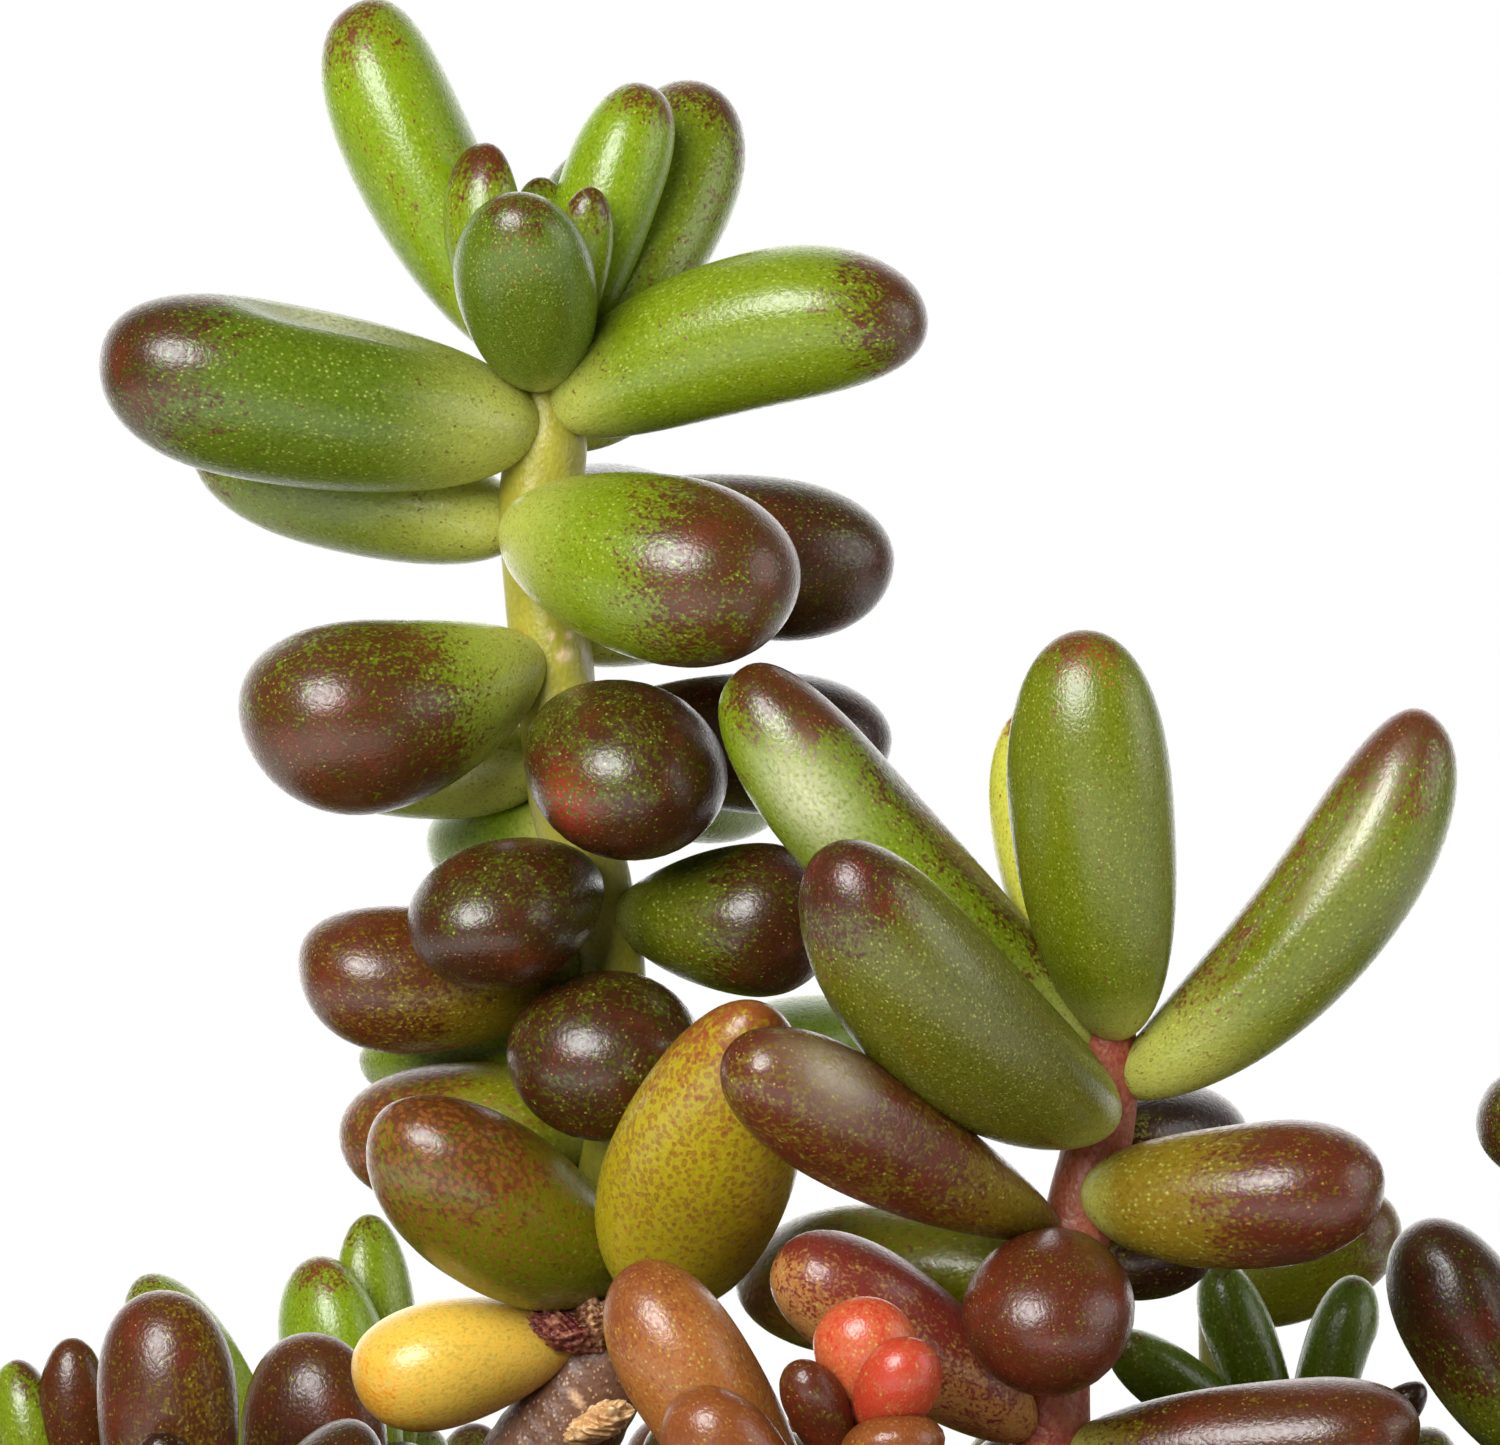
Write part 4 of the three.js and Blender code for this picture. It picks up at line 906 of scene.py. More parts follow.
@dataclass
class Stem:
    """A stem as a tube along a curve, with a swelling where each leaf grows.

    The swelling has a height and a reach. The section has lobes, and bark adds ridges across the stem (height
    and waves for each mm), which bend by ridge_bend as they go round. Bark starts over bark_fade from bark_z.
    """

    points: np.ndarray
    radii: np.ndarray
    skin: Skin
    seed: int
    scars: tuple[Scar, ...] = ()
    step: float = 0.22
    sides: int = 28
    least_rings: int = 8
    swelling: tuple[float, float] = (0.07, 0.9)
    lobes: tuple[tuple[int, float, float], ...] = ((3, 0.02, 1.0), (5, 0.015, -1.7))
    ridges: tuple[float, float] = (0.01, 9.0)
    ridge_bend: float = 2.0
    bark_fade: tuple[float, float] = (1.2, -0.4)
    grain_along: float = 0.8
    grain_shift: float = 30.0

    def surface(self, knots: np.ndarray) -> Surface:
        """The tube's skin: a circle at each step, swollen by a bell curve at each knot, wrinkled where woody.

        Args:
            knots: Where leaves grow, one point a row.

        Returns:
            The surface with its colours.
        """
        draw = np.random.default_rng(self.seed)
        length = float(np.linalg.norm(np.diff(self.points, axis=0), axis=1).sum())
        rings = max(self.least_rings, int(length / self.step))
        share = np.linspace(0, 1, rings)
        place, direction = stem_curve(self.points, share)
        across = np.array([1.0, 0.0, 0.0]) - direction * direction[:, :1]
        across /= np.linalg.norm(across, axis=1)[:, None]
        beside = np.cross(across, direction)
        radius = np.interp(share, np.linspace(0, 1, len(self.radii)), self.radii)
        if len(knots):
            gap = np.linalg.norm(place[:, None] - knots[None], axis=2)
            radius += self.swelling[0] * np.exp(-(gap / self.swelling[1]) ** 2).max(1)
        tall, turn = np.meshgrid(np.arange(rings), circle(self.sides), indexing="ij")
        start, end = (POT.bark_z + off for off in self.bark_fade)
        woody = self.skin.value[4] * smoothstep(start, end, place[:, 2])
        wave = draw.uniform(0, 2 * math.pi, 4)
        run = tall * self.step
        ridge_height, ridges = self.ridges
        bend = self.ridge_bend * np.sin(2 * turn + wave[2])
        uneven = lobed(self.lobes, turn, run, wave)
        uneven += woody[:, None] * ridge_height * np.sin(ridges * run + bend)
        span = (radius[:, None] * uneven)[..., None]
        around = np.cos(turn)[..., None] * across[:, None] + np.sin(turn)[..., None] * beside[:, None]
        skin = (place[:, None] + span * around).reshape(-1, 3)
        points = np.concatenate([place[:1], skin, place[-1:]])
        woody = with_ends(woody[0], np.repeat(woody, self.sides), woody[-1])
        fields = self.colours(points, woody, draw.uniform(-self.grain_shift, self.grain_shift, 3))
        return Surface(points, [face[::-1] for face in round_faces(rings, self.sides)], fields)

    def colours(self, points: np.ndarray, woody: np.ndarray, shift: np.ndarray) -> dict[str, np.ndarray]:
        """The ground colour: the top's, turned into the foot's where the stem is wood, with the scars on it.

        Args:
            points: The skin's points.
            woody: How much each is wood.
            shift: How far the pattern is moved.

        Returns:
            The fields ground, flush, cover, place and bark.
        """
        top, foot, speckle = (np.array(colour) for colour in self.skin.value[:3])
        ground = np.outer(1 - woody, top) + np.outer(woody, foot)
        rows, columns, _ = VIEW.seen(points)
        for scar in self.scars:
            share = scar.share(rows, columns)[:, None]
            ground = ground * (1 - share) + np.array(scar.colour) * share
        return {
            "ground": opaque(ground),
            "flush": opaque(np.tile(speckle, (len(points), 1))),
            "cover": np.full(len(points), self.skin.value[3]),
            "place": points * np.array([1, 1, self.grain_along]) + shift,
            "bark": woody,
        }


@dataclass
class Shoot:
    """A stem with its leaves, standing in the soil.

    A leaf in view that is wider than large_width has the rings and sides of seen_grid, and any other leaf has
    those of plain_grid. The shoot with scraps has the long old stem, whose step and sides are old_stem_grid.
    """

    name: str
    skin: Skin
    points: np.ndarray
    radii: np.ndarray
    levels: int
    placed: bool
    phase: float
    slot: str
    leaves: list[Leaf] = field(default_factory=list)
    scraps: list[Leaf] = field(default_factory=list)
    root_share: float = 0.6
    crown: float = 0.3
    rule_drop: float = 0.6
    rule_rise: float = 8.5
    ball_step: float = 1.2
    large_width: float = 2.5
    seen_grid: tuple[int, int] = (46, 36)
    plain_grid: tuple[int, int] = (26, 22)
    scrap_grid: tuple[int, int] = (110, 90)
    old_stem_grid: tuple[float, int] = (0.11, 72)
    most_leaves: int = 100

    @property
    def rule_top(self) -> float:
        """The height from which the growth rule starts."""
        return min(self.points[0][2] - self.rule_drop, POT.soil_z + self.rule_rise)

    def root(self, base: np.ndarray) -> np.ndarray:
        """Moves a leaf's start into the stem, at the nearest place below its top.

        Args:
            base: Where the leaf was seen to start.

        Returns:
            Where it starts.
        """
        line = self.points.copy()
        line[0] = self.points[0] + (self.points[1] - self.points[0]) * self.crown
        starts, ends = line[:-2], line[1:-1]
        span = ends - starts
        share = np.clip(((base - starts) * span).sum(1) / (span ** 2).sum(1), 0, 1)
        near = starts + span * share[:, None]
        best = int(np.argmin(np.linalg.norm(near - base, axis=1)))
        offset = base - near[best]
        reach = self.root_share * self.radii[best]
        distance = np.linalg.norm(offset)
        return near[best] + offset * min(1.0, reach / max(distance, 1e-9))

    def axis_at(self, z: float) -> np.ndarray:
        """The stem's axis at a height.

        Args:
            z: The height.

        Returns:
            The point, which is the stem's top for a height above it.
        """
        for high, low in zip(self.points[:-1], self.points[1:]):
            if high[2] >= z >= low[2]:
                return high + (low - high) * (high[2] - z) / (high[2] - low[2])
        return self.points[0].copy()

    def stem_spheres(self) -> tuple[np.ndarray, np.ndarray]:
        """The balls that stand for the stem, about one step apart.

        Returns:
            Their centres and radii.
        """
        centres, radii = [], []
        for i in range(len(self.points) - 1):
            span = self.points[i + 1] - self.points[i]
            steps = max(1, math.floor(float(np.linalg.norm(span)) / self.ball_step + 0.5))
            share = np.arange(steps) / steps
            centres.append(self.points[i] + np.outer(share, span))
            radii.append(self.radii[i] + (self.radii[i + 1] - self.radii[i]) * share)
        return np.concatenate(centres), np.concatenate(radii)

    def dress(self, surface: Surface, what: str, material: bpy.types.Material) -> None:
        """Makes one of the shoot's pieces."""
        surface.piece(f"{self.name}_{what}", material, self.slot, (self.name,))

    def build(self, leaf_material: bpy.types.Material, stem_material: bpy.types.Material, seed: int) -> None:
        """Makes the shoot's pieces.

        Args:
            leaf_material: The leaves' material.
            stem_material: The stem's material.
            seed: Picks the small unevenness.
        """
        surfaces = []
        for number, leaf in enumerate(self.leaves):
            large = leaf.form.width > self.large_width and not leaf.name.startswith("rule")
            grid = self.seen_grid if large else self.plain_grid
            surfaces.append(leaf.surface(*grid, seed * self.most_leaves + number))
        self.dress(Surface.joined(surfaces), "leaves", leaf_material)
        old_stem = (SCARS, *self.old_stem_grid) if self.scraps else ()
        stem = Stem(self.points, self.radii, self.skin, seed, *old_stem)
        self.dress(stem.surface(np.array([leaf.base for leaf in self.leaves])), "stem", stem_material)
        if self.scraps:
            crumpled = [leaf.scrap_surface(*self.scrap_grid, seed + i) for i, leaf in enumerate(self.scraps)]
            self.dress(Surface.joined(crumpled), "scraps", stem_material)


@dataclass
class GrowthRule:
    """Places the leaves that the photograph doesn't show, as the solids do, level by level from the top.

    A leaf is tried in several scales, turns and pitches (degrees) until it keeps clear of the soil, the pot's
    rim, the photograph's view and the leaves so far.
    """

    seed: int = 20251125
    mat_points: int = 40
    mat_radius: float = 25.0
    mat_jitter: float = 0.7
    mat_spacing: float = 6.0
    mat_leaves: int = 9
    stem_radius: float = 0.8
    top_radius: float = 0.56
    stem_rise: tuple[float, float] = (4.0, 6.6)
    back_rise: float = 4.2
    back_width: float = 20.0
    lean: float = 0.3
    top_length: float = 4.2
    full_length: tuple[float, float] = (6.4, 8.2)
    width_ratio: float = 0.5
    thickness_ratio: float = 0.44
    tip_blunt: float = 2.2
    top_pitch: float = 76.0
    low_pitch: float = 24.0
    steepest: float = 80.0
    turn_jitter: float = 0.35
    length_gain: float = 2.2
    placed_start: float = 0.6
    lowest: float = 1.3
    bow: float = -0.05
    root_sink: float = 0.25
    clearance: float = 0.3
    soil_clearance: float = 0.35
    rim_clearance: float = 0.4
    inner_rim_clearance: float = 1.2
    rim_overhang_z: float = 50.5
    view_limit_back: float = 1400.0
    view_limit_front: float = 1452.0
    sister_share: float = 0.94
    root_part: float = 0.4
    scales: tuple[float, ...] = (1, 0.88, 0.76, 0.66)
    turns: tuple[float, ...] = (0, 14, -14, 28, -28, 44, -44)
    pitches: tuple[float, ...] = (0, -12, 12, -24)

    def __post_init__(self) -> None:
        """Starts the number source and the lists of balls that stand for what has grown."""
        self.random = Lcg(self.seed)
        self.centres = np.zeros((0, 3))
        self.radii = np.zeros(0)
        self.heights = np.zeros(0)
        self.owners = np.zeros(0, int)

    def remember(self, owner: int, centres: np.ndarray, radii: np.ndarray, heights: np.ndarray) -> None:
        """Adds balls to what later leaves keep clear of.

        Args:
            owner: The number of the shoot that they belong to.
            centres: Their centres.
            radii: Their radii.
            heights: How far along its leaf each is.
        """
        self.centres = np.vstack([self.centres, centres])
        self.radii = np.concatenate([self.radii, radii])
        self.heights = np.concatenate([self.heights, heights])
        self.owners = np.concatenate([self.owners, np.full(len(radii), owner)])

    def is_clear(self, leaf: Leaf, owner: int) -> bool:
        """Whether a leaf is clear of the soil, the rim, the view and everything so far.

        Args:
            leaf: The leaf to try.
            owner: The number of its shoot.

        Returns:
            True if it may grow there.
        """
        centre, radius, height = leaf.spheres()
        far = np.hypot(centre[:, 0], centre[:, 1]) + radius
        low = centre[:, 2] - radius
        over = (far > POT.inner_rim_radius - self.inner_rim_clearance) & (low < self.rim_overhang_z)
        if (far > POT.rim_radius - self.rim_clearance).any() or over.any():
            return False
        if (low < POT.soil_z + POT.soil_bump + self.soil_clearance).any():
            return False
        row, column, pixel = VIEW.seen(centre)
        limit = np.where(centre[:, 1] > VIEW.plane_y, self.view_limit_back, self.view_limit_front)
        beside = np.abs(column - VIEW.centre[0]) - radius / pixel
        if ((beside < VIEW.centre[0]) & (row - radius / pixel < limit)).any():
            return False
        same = self.owners == owner
        reach = radius[:, None] + self.radii[None]
        least = np.where(same[None], reach * self.sister_share, reach + self.clearance)
        roots = (height[:, None] < self.root_part) | (self.heights[None] < self.root_part)
        apart = ((centre[:, None] - self.centres[None]) ** 2).sum(2)
        return not ((apart < least * least) & ~(same[None] & roots)).any()

    def grow_leaf(self, shoot: Shoot, owner: int, level: int, look: Look) -> None:
        """Tries to grow one leaf on a shoot, in several sizes and directions.

        Args:
            shoot: The shoot.
            owner: Its number.
            level: Which leaf of it, 0 at the top.
            look: How the leaf is coloured.
        """
        share = level / (shoot.levels - 1)
        azimuth = shoot.phase + level * GOLDEN_ANGLE + (self.random.draw() - 0.5) * self.turn_jitter
        full = self.full_length[0] + self.random.draw() * (self.full_length[1] - self.full_length[0])
        grown = min(1.0, share * self.length_gain + (self.placed_start if shoot.placed else 0))
        length = self.top_length + (full - self.top_length) * grown
        pitch = self.top_pitch + (self.low_pitch - self.top_pitch) * share
        z = shoot.rule_top - (shoot.rule_top - POT.soil_z - self.lowest) * share
        for scale, turn, lift in itertools.product(self.scales, self.turns, self.pitches):
            steep = math.radians(min(self.steepest, pitch + lift))
            bearing = azimuth + math.radians(turn)
            outward = np.array([math.cos(bearing), math.sin(bearing), 0.0])
            base = shoot.axis_at(z) + outward * self.root_sink
            tip = base + outward * length * scale * math.cos(steep)
            tip[2] += length * scale * math.sin(steep)
            size = length * math.sqrt(scale)
            form = Form(size * self.width_ratio, size * self.thickness_ratio, tip_blunt=self.tip_blunt,
                        bow=self.bow * length)
            leaf = Leaf(f"rule_{level}", base, tip, form, look)
            if self.is_clear(leaf, owner):
                shoot.leaves.append(leaf)
                self.remember(owner, *leaf.spheres())
                return

    def grow(self) -> list[Shoot]:
        """Grows every shoot, the placed ones first.

        Returns:
            The shoots.
        """
        shoots = [self.plant(planting, number) for number, planting in enumerate(PLANTINGS)]
        feet = [planting.foot for planting in PLANTINGS]
        for i in range(self.mat_points):
            distance = self.mat_radius * math.sqrt((i + 0.5) / self.mat_points)
            bearing = i * GOLDEN_ANGLE
            x = distance * math.cos(bearing) + (self.random.draw() - 0.5) * 2 * self.mat_jitter
            y = distance * math.sin(bearing) + (self.random.draw() - 0.5) * 2 * self.mat_jitter
            rise = self.stem_rise[0] + self.random.draw() * (self.stem_rise[1] - self.stem_rise[0])
            phase = self.random.draw() * 2 * math.pi
            if any(math.hypot(x - fx, y - fy) < self.mat_spacing for fx, fy in feet):
                continue
            feet.append((x, y))
            back = y > VIEW.plane_y and abs(x) < self.back_width
            height = min(rise, self.back_rise) if back else rise
            outward = unit(np.array([x, y, 0.0]))
            leaning = outward * self.lean * height * distance / self.mat_radius
            top = np.array([x, y, POT.soil_z + height]) + leaning
            name = f"mat_shoot_{len(shoots) - len(PLANTINGS) + 1:02d}"
            points = np.array([top, [x, y, POT.soil_z + POT.stem_straight], [x, y, POT.foot_z]])
            radii = np.array([self.top_radius, self.stem_radius, self.stem_radius])
            shoot = Shoot(name, Skin.GREEN, points, radii, self.mat_leaves, False, phase, SLOTS[name])
            centres, sizes = shoot.stem_spheres()
            self.remember(len(shoots), centres, sizes, np.zeros(len(sizes)))
            shoots.append(shoot)
        for level in range(self.mat_leaves):
            for owner, shoot in enumerate(shoots):
                if level < shoot.levels:
                    self.grow_leaf(shoot, owner, level, rule_look(shoot.slot, owner, level))
        return shoots

    def plant(self, planting: Planting, owner: int) -> Shoot:
        """Places a shoot of the picture with its leaves.

        Args:
            planting: Where it stands and what grows on it.
            owner: Its number.

        Returns:
            The shoot.
        """
        points = [VIEW.at(entry[:3]) for entry in planting.stem]
        radii = [entry[3] for entry in planting.stem]
        points += [np.array([*planting.foot, z]) for z in (POT.soil_z + POT.stem_straight, POT.foot_z)]
        radii += [radii[-1], radii[-1]]
        shoot = Shoot(planting.name, planting.skin, np.array(points), np.array(radii), planting.extra, True,
                      self.random.draw() * 2 * math.pi, SLOTS[planting.name])
        centres, sizes = shoot.stem_spheres()
        self.remember(owner, centres, sizes, np.zeros(len(sizes)))
        for rows, leaves in ((planting.leaves, shoot.leaves), (planting.scraps, shoot.scraps)):
            for name, base, tip, form, look in rows:
                start = VIEW.at(base) if name in CLASPING else shoot.root(VIEW.at(base))
                leaf = Leaf(name, start, VIEW.at(tip), form, look)
                leaves.append(leaf)
                self.remember(owner, *leaf.spheres())
        return shoot


@dataclass(frozen=True)
class Ageing:
    """How the leaves of the rule change down a shoot: their tint while young and once older than turning (or
    by luck, for that share of them), their reach at the top and how much it grows, their strength and bias,
    and the dots of the oldest."""

    young: Tint
    old: Tint
    turning: float
    reach: tuple[float, float]
    strength: float
    bias: tuple[float, float] = (0.0, 0.0)
    dots: float = 0.0
    by_luck: bool = False


FRESH_AGEING = Ageing(Tint.FRESH, Tint.GREEN, 0.45, (0.12, 0.35), 0.8, (0.0, 0.08))
AGEING = {
    "leaf_brown": Ageing(Tint.BALL, Tint.DARK, 0.7, (0.5, 0.4), 0.95, (0.0, 0.1)),
    "leaf_orange": Ageing(Tint.ORANGE, Tint.BALL, 0.5, (0.4, 0.4), 0.8),
    "leaf_olive": Ageing(Tint.OLIVE, Tint.SOFT, 0.6, (0.2, 0.45), 0.85, (0.0, 0.15), 0.3, True),
}


def rule_look(slot: str, owner: int, level: int) -> Look:
    """The colours of a leaf of the rule: greener at the top of a shoot, browner further down.

    Args:
        slot: The shoot's material slot.
        owner: The shoot's number.
        level: Which leaf, 0 at the top.

    Returns:
        Its look.
    """
    seeds_per_shoot, oldest_level, age_jitter = 50, 8, 0.15
    draw = np.random.default_rng(owner * seeds_per_shoot + level)
    age = min(1.0, level / oldest_level + draw.uniform(-age_jitter, age_jitter))
    kind = AGEING.get(slot, FRESH_AGEING)
    turned = draw.uniform() if kind.by_luck else age
    tint = kind.young if turned < kind.turning else kind.old
    reach = kind.reach[0] + kind.reach[1] * age
    return Look(tint, reach, kind.strength, kind.bias, kind.dots * age)


def operator(operation: str, reflected: bool = False) -> Callable[["Value", Any], "Value"]:
    """Makes the method behind one operator on values.

    Args:
        operation: The Math node's operation.
        reflected: Whether the value stands on the operator's right.

    Returns:
        The method, which adds the Math node.
    """
    def method(value: "Value", other: Any) -> "Value":
        """Adds the Math node and returns its output."""
        first, second = (other, value) if reflected else (value, other)
        return value.graph.value("ShaderNodeMath", {"operation": operation}, {0: first, 1: second})

    return method


class Value:
    """A number socket that takes part in Python expressions, each of which adds Math nodes."""

    __add__ = operator("ADD")
    __radd__ = operator("ADD", reflected=True)
    __sub__ = operator("SUBTRACT")
    __rsub__ = operator("SUBTRACT", reflected=True)
    __mul__ = operator("MULTIPLY")
    __rmul__ = operator("MULTIPLY", reflected=True)
    at_least = operator("MAXIMUM")
    at_most = operator("MINIMUM")

    def __init__(self, graph: "Graph", socket: bpy.types.NodeSocket) -> None:
        """Wraps an output socket of a graph."""
        self.graph = graph
        self.socket = socket

    def clamp(self) -> "Value":
        """Kept between 0 and 1."""
        return self.at_least(0.0).at_most(1.0)

    def above(self, start: Any, slope: float) -> "Value":
        """Rises by a slope from 0 at the start to 1."""
        return ((self - start) * slope).clamp()

    def below(self, end: Any, slope: float) -> "Value":
        """Falls by a slope from 1 to 0 at the end."""
        return ((end - self) * slope).clamp()

    def contrast(self, gain: float) -> "Value":
        """Spread out from one half by a gain, between 0 and 1."""
        return ((self - 0.5) * gain + 0.5).clamp()


def swing(noises: Sequence[Value], weights: Sequence[float]) -> Value:
    """Adds up noises about their middle: each less one half, times its weight.

    Args:
        noises: The noises, from 0 to 1.
        weights: A weight for each.

    Returns:
        The sum.
    """
    total, *others = [(noise - 0.5) * weight for noise, weight in zip(noises, weights)]
    for other in others:
        total = total + other
    return total


class Graph:
    """The node tree of a material or of the world."""

    def __init__(self, holder: bpy.types.Material | bpy.types.World) -> None:
        """Starts the node tree of a new material or world from nothing.

        Args:
            holder: The material or world.
        """
        holder.use_nodes = True
        self.holder = holder
        self.tree = holder.node_tree
        self.tree.nodes.clear()

    def node(self, kind: str, settings: dict[str, Any] | None = None,
             inputs: dict[int | str, Any] | None = None) -> bpy.types.Node:
        """Adds a node.

        Args:
            kind: Its type.
            settings: What is set first, such as a Math node's operation.
            inputs: A number, Value or socket for each input.

        Returns:
            The node.
        """
        made = self.tree.nodes.new(kind)
        for name, value in (settings or {}).items():
            setattr(made, name, value)
        for key, value in (inputs or {}).items():
            if isinstance(value, Value):
                value = value.socket
            if isinstance(value, bpy.types.NodeSocket):
                self.tree.links.new(value, made.inputs[key])
            else:
                made.inputs[key].default_value = value
        return made

    def value(self, kind: str, settings: dict[str, Any] | None = None,
              inputs: dict[int | str, Any] | None = None, output: int | str = 0) -> Value:
        """Adds a node and returns one of its outputs as a Value."""
        return Value(self, self.node(kind, settings, inputs).outputs[output])

    def mix(self, factor: Any, first: Any, second: Any) -> bpy.types.NodeSocket:
        """Mixes two colours.

        Args:
            factor: How much of the second.
            first: A colour or a colour socket.
            second: A colour or a colour socket.

        Returns:
            The mixed colour's socket.
        """
        colours = [(*c, 1.0) if isinstance(c, tuple) else c for c in (first, second)]
        node = self.node("ShaderNodeMix", {"data_type": "RGBA"}, {0: factor, 6: colours[0], 7: colours[1]})
        return node.outputs[2]

    def field(self, name: str, output: str) -> bpy.types.NodeSocket:
        """Reads one of the mesh's own fields, by the output Vector, Color or Fac."""
        return self.node("ShaderNodeAttribute", {"attribute_name": name}).outputs[output]

    def shares(self, *names: str) -> list[Value]:
        """Reads fields that hold one number a point."""
        return [Value(self, self.field(name, "Fac")) for name in names]

    def object_place(self) -> bpy.types.NodeSocket:
        """Places on the piece in metres."""
        return self.node("ShaderNodeTexCoord").outputs["Object"]

    def noise(self, place: Any, scale: float, detail: float) -> Value:
        """Noise from 0 to 1 at a scale in cells per unit."""
        return self.value("ShaderNodeTexNoise", None, {"Vector": place, "Scale": scale, "Detail": detail})

    def cells(self, place: Any, scale: float) -> tuple[Value, bpy.types.NodeSocket]:
        """Cells at a scale: how far each place is from the nearest cell's middle, and a colour for each."""
        node = self.node("ShaderNodeTexVoronoi", {"feature": "F1"}, {"Vector": place, "Scale": scale})
        return Value(self, node.outputs["Distance"]), node.outputs["Color"]

    def surface(self, colour: Any, roughness: Any, relief: tuple[float, float, Value],
                more: dict[str, Any] | None = None) -> bpy.types.Material:
        """Finishes the material with the usual shader.

        Args:
            colour: Its base colour.
            roughness: Its roughness.
            relief: How strong its bumps are, how high they are in metres, and their pattern.
            more: Values for the shader's other inputs.

        Returns:
            The material.
        """
        strength, distance, height = relief
        inputs = {"Strength": strength, "Distance": distance, "Height": height}
        bump = self.node("ShaderNodeBump", None, inputs).outputs[0]
        inputs = {"Base Color": colour, "Roughness": roughness, "Normal": bump, **(more or {})}
        return self.finish(self.node("ShaderNodeBsdfPrincipled", None, inputs))

    def finish(self, shader: bpy.types.Node, kind: str = "Material") -> bpy.types.Material | bpy.types.World:
        """Joins the shader to the output and returns the material or world."""
        self.node(f"ShaderNodeOutput{kind}", None, {"Surface": shader.outputs[0]})
        return self.holder


@dataclass(frozen=True)
class LeafFinish:
    """Waxy plump skin: ground colour, a flush that breaks up in grains, painted sheen, pores, brown rings and
    tiny bumps.

    A broad, a middle and a fine noise break up the flush by the weights of mottle and shade the skin by those
    of grain. Rings, halos and pores lie in small cells. An edge is where a pattern ends and how steeply.
    """

    name: str = "leaf_skin"
    roughness: float = 0.31
    roughness_swing: float = 0.3
    bump_strength: float = 0.7
    bump: float = 0.000018
    noise_scales: tuple[float, ...] = (0.8, 3.0, 11.0)
    cell_scale: float = 9.5
    mottle: tuple[float, ...] = (0.6, 0.9, 2.0)
    mottle_gain: float = 1.8
    warm_edge: tuple[float, float] = (0.8, 4.0)
    warm_share: float = 0.25
    grain: tuple[float, ...] = (0.35, 0.5, 1.3)
    tone: float = 0.93
    ground_grain: float = 0.65
    painted_sheen_grain: float = 2.0
    ring_edge: tuple[float, float] = (0.54, 6.0)
    ring_middle: tuple[float, float] = (0.45, 1.5)
    ring_chance: float = 12.0
    ring_share: float = 0.75
    halo_edge: tuple[float, float] = (0.5, 2.6)
    halo_share: float = 0.32
    pore_edge: tuple[float, float] = (0.26, 8.0)
    pore_share: float = 0.55
    shadow: tuple[float, ...] = linear(24, 18, 2)
    # The pale colour of the painted sheen.
    painted_sheen_colour: tuple[float, ...] = linear(214, 210, 176)
    pore: tuple[float, ...] = linear(186, 196, 96)
    gold: tuple[float, ...] = linear(200, 158, 84)
    warm: tuple[float, ...] = linear(132, 38, 18)
    brown_ring: tuple[float, ...] = linear(134, 80, 30)

    def make(self) -> bpy.types.Material:
        """Builds the material.

        Returns:
            The material.
        """
        graph = Graph(bpy.data.materials.new(self.name))
        place = graph.field("place", "Vector")
        cover, dots, clay_bloom_and_painted_sheen = graph.shares("cover", "dots", "clay_bloom_and_painted_sheen")
        noises = [graph.noise(place, scale, 1.0) for scale in self.noise_scales]
        broad, _, fine = noises
        speckle = (cover + swing(noises, self.mottle)).contrast(self.mottle_gain)
        warmth = (broad + fine * 0.5).above(*self.warm_edge) * self.warm_share
        warm = graph.mix(warmth, graph.field("flush", "Color"), self.warm)
        colour = graph.mix(speckle, graph.field("ground", "Color"), warm)
        grain = swing(noises, self.grain) * (self.ground_grain + speckle * (1 - self.ground_grain))
        colour = graph.mix((self.tone + grain).clamp(), self.shadow, colour)
        # Painted sheen: the patches turn the colour pale, broken up by the fine noise.
        colour = graph.mix((clay_bloom_and_painted_sheen * (fine * self.painted_sheen_grain)).clamp(), colour, self.painted_sheen_colour)
        near, cell_colour = graph.cells(place, self.cell_scale)
        chance = graph.node("ShaderNodeSeparateColor", None, {0: cell_colour})
        ring_luck, luck = (Value(graph, output) for output in list(chance.outputs)[:2])
        middle, slope = self.ring_middle
        ring = near.below(*self.ring_edge) * (middle + near * slope).clamp()
        brown = dots.above(ring_luck, self.ring_chance) * ring
        colour = graph.mix(brown * self.ring_share, colour, self.brown_ring)
        halo = near.below(*self.halo_edge) * (luck * self.halo_share) * ((1.0 - speckle) * (1.0 - dots))
        colour = graph.mix(halo, colour, self.pore)
        pores = near.below(*self.pore_edge) * luck * luck * (1.0 - dots)
        colour = graph.mix(pores * self.pore_share, colour, graph.mix(speckle, self.pore, self.gold))
        roughness = self.roughness + (fine - 0.5) * self.roughness_swing
        return graph.surface(colour, roughness, (self.bump_strength, self.bump, fine), {
            "Subsurface Weight": 0.3, "Subsurface Radius": (1.0, 0.8, 0.2), "Subsurface Scale": 0.0008,
            "IOR": 1.5, "Specular IOR Level": 0.55,
        })


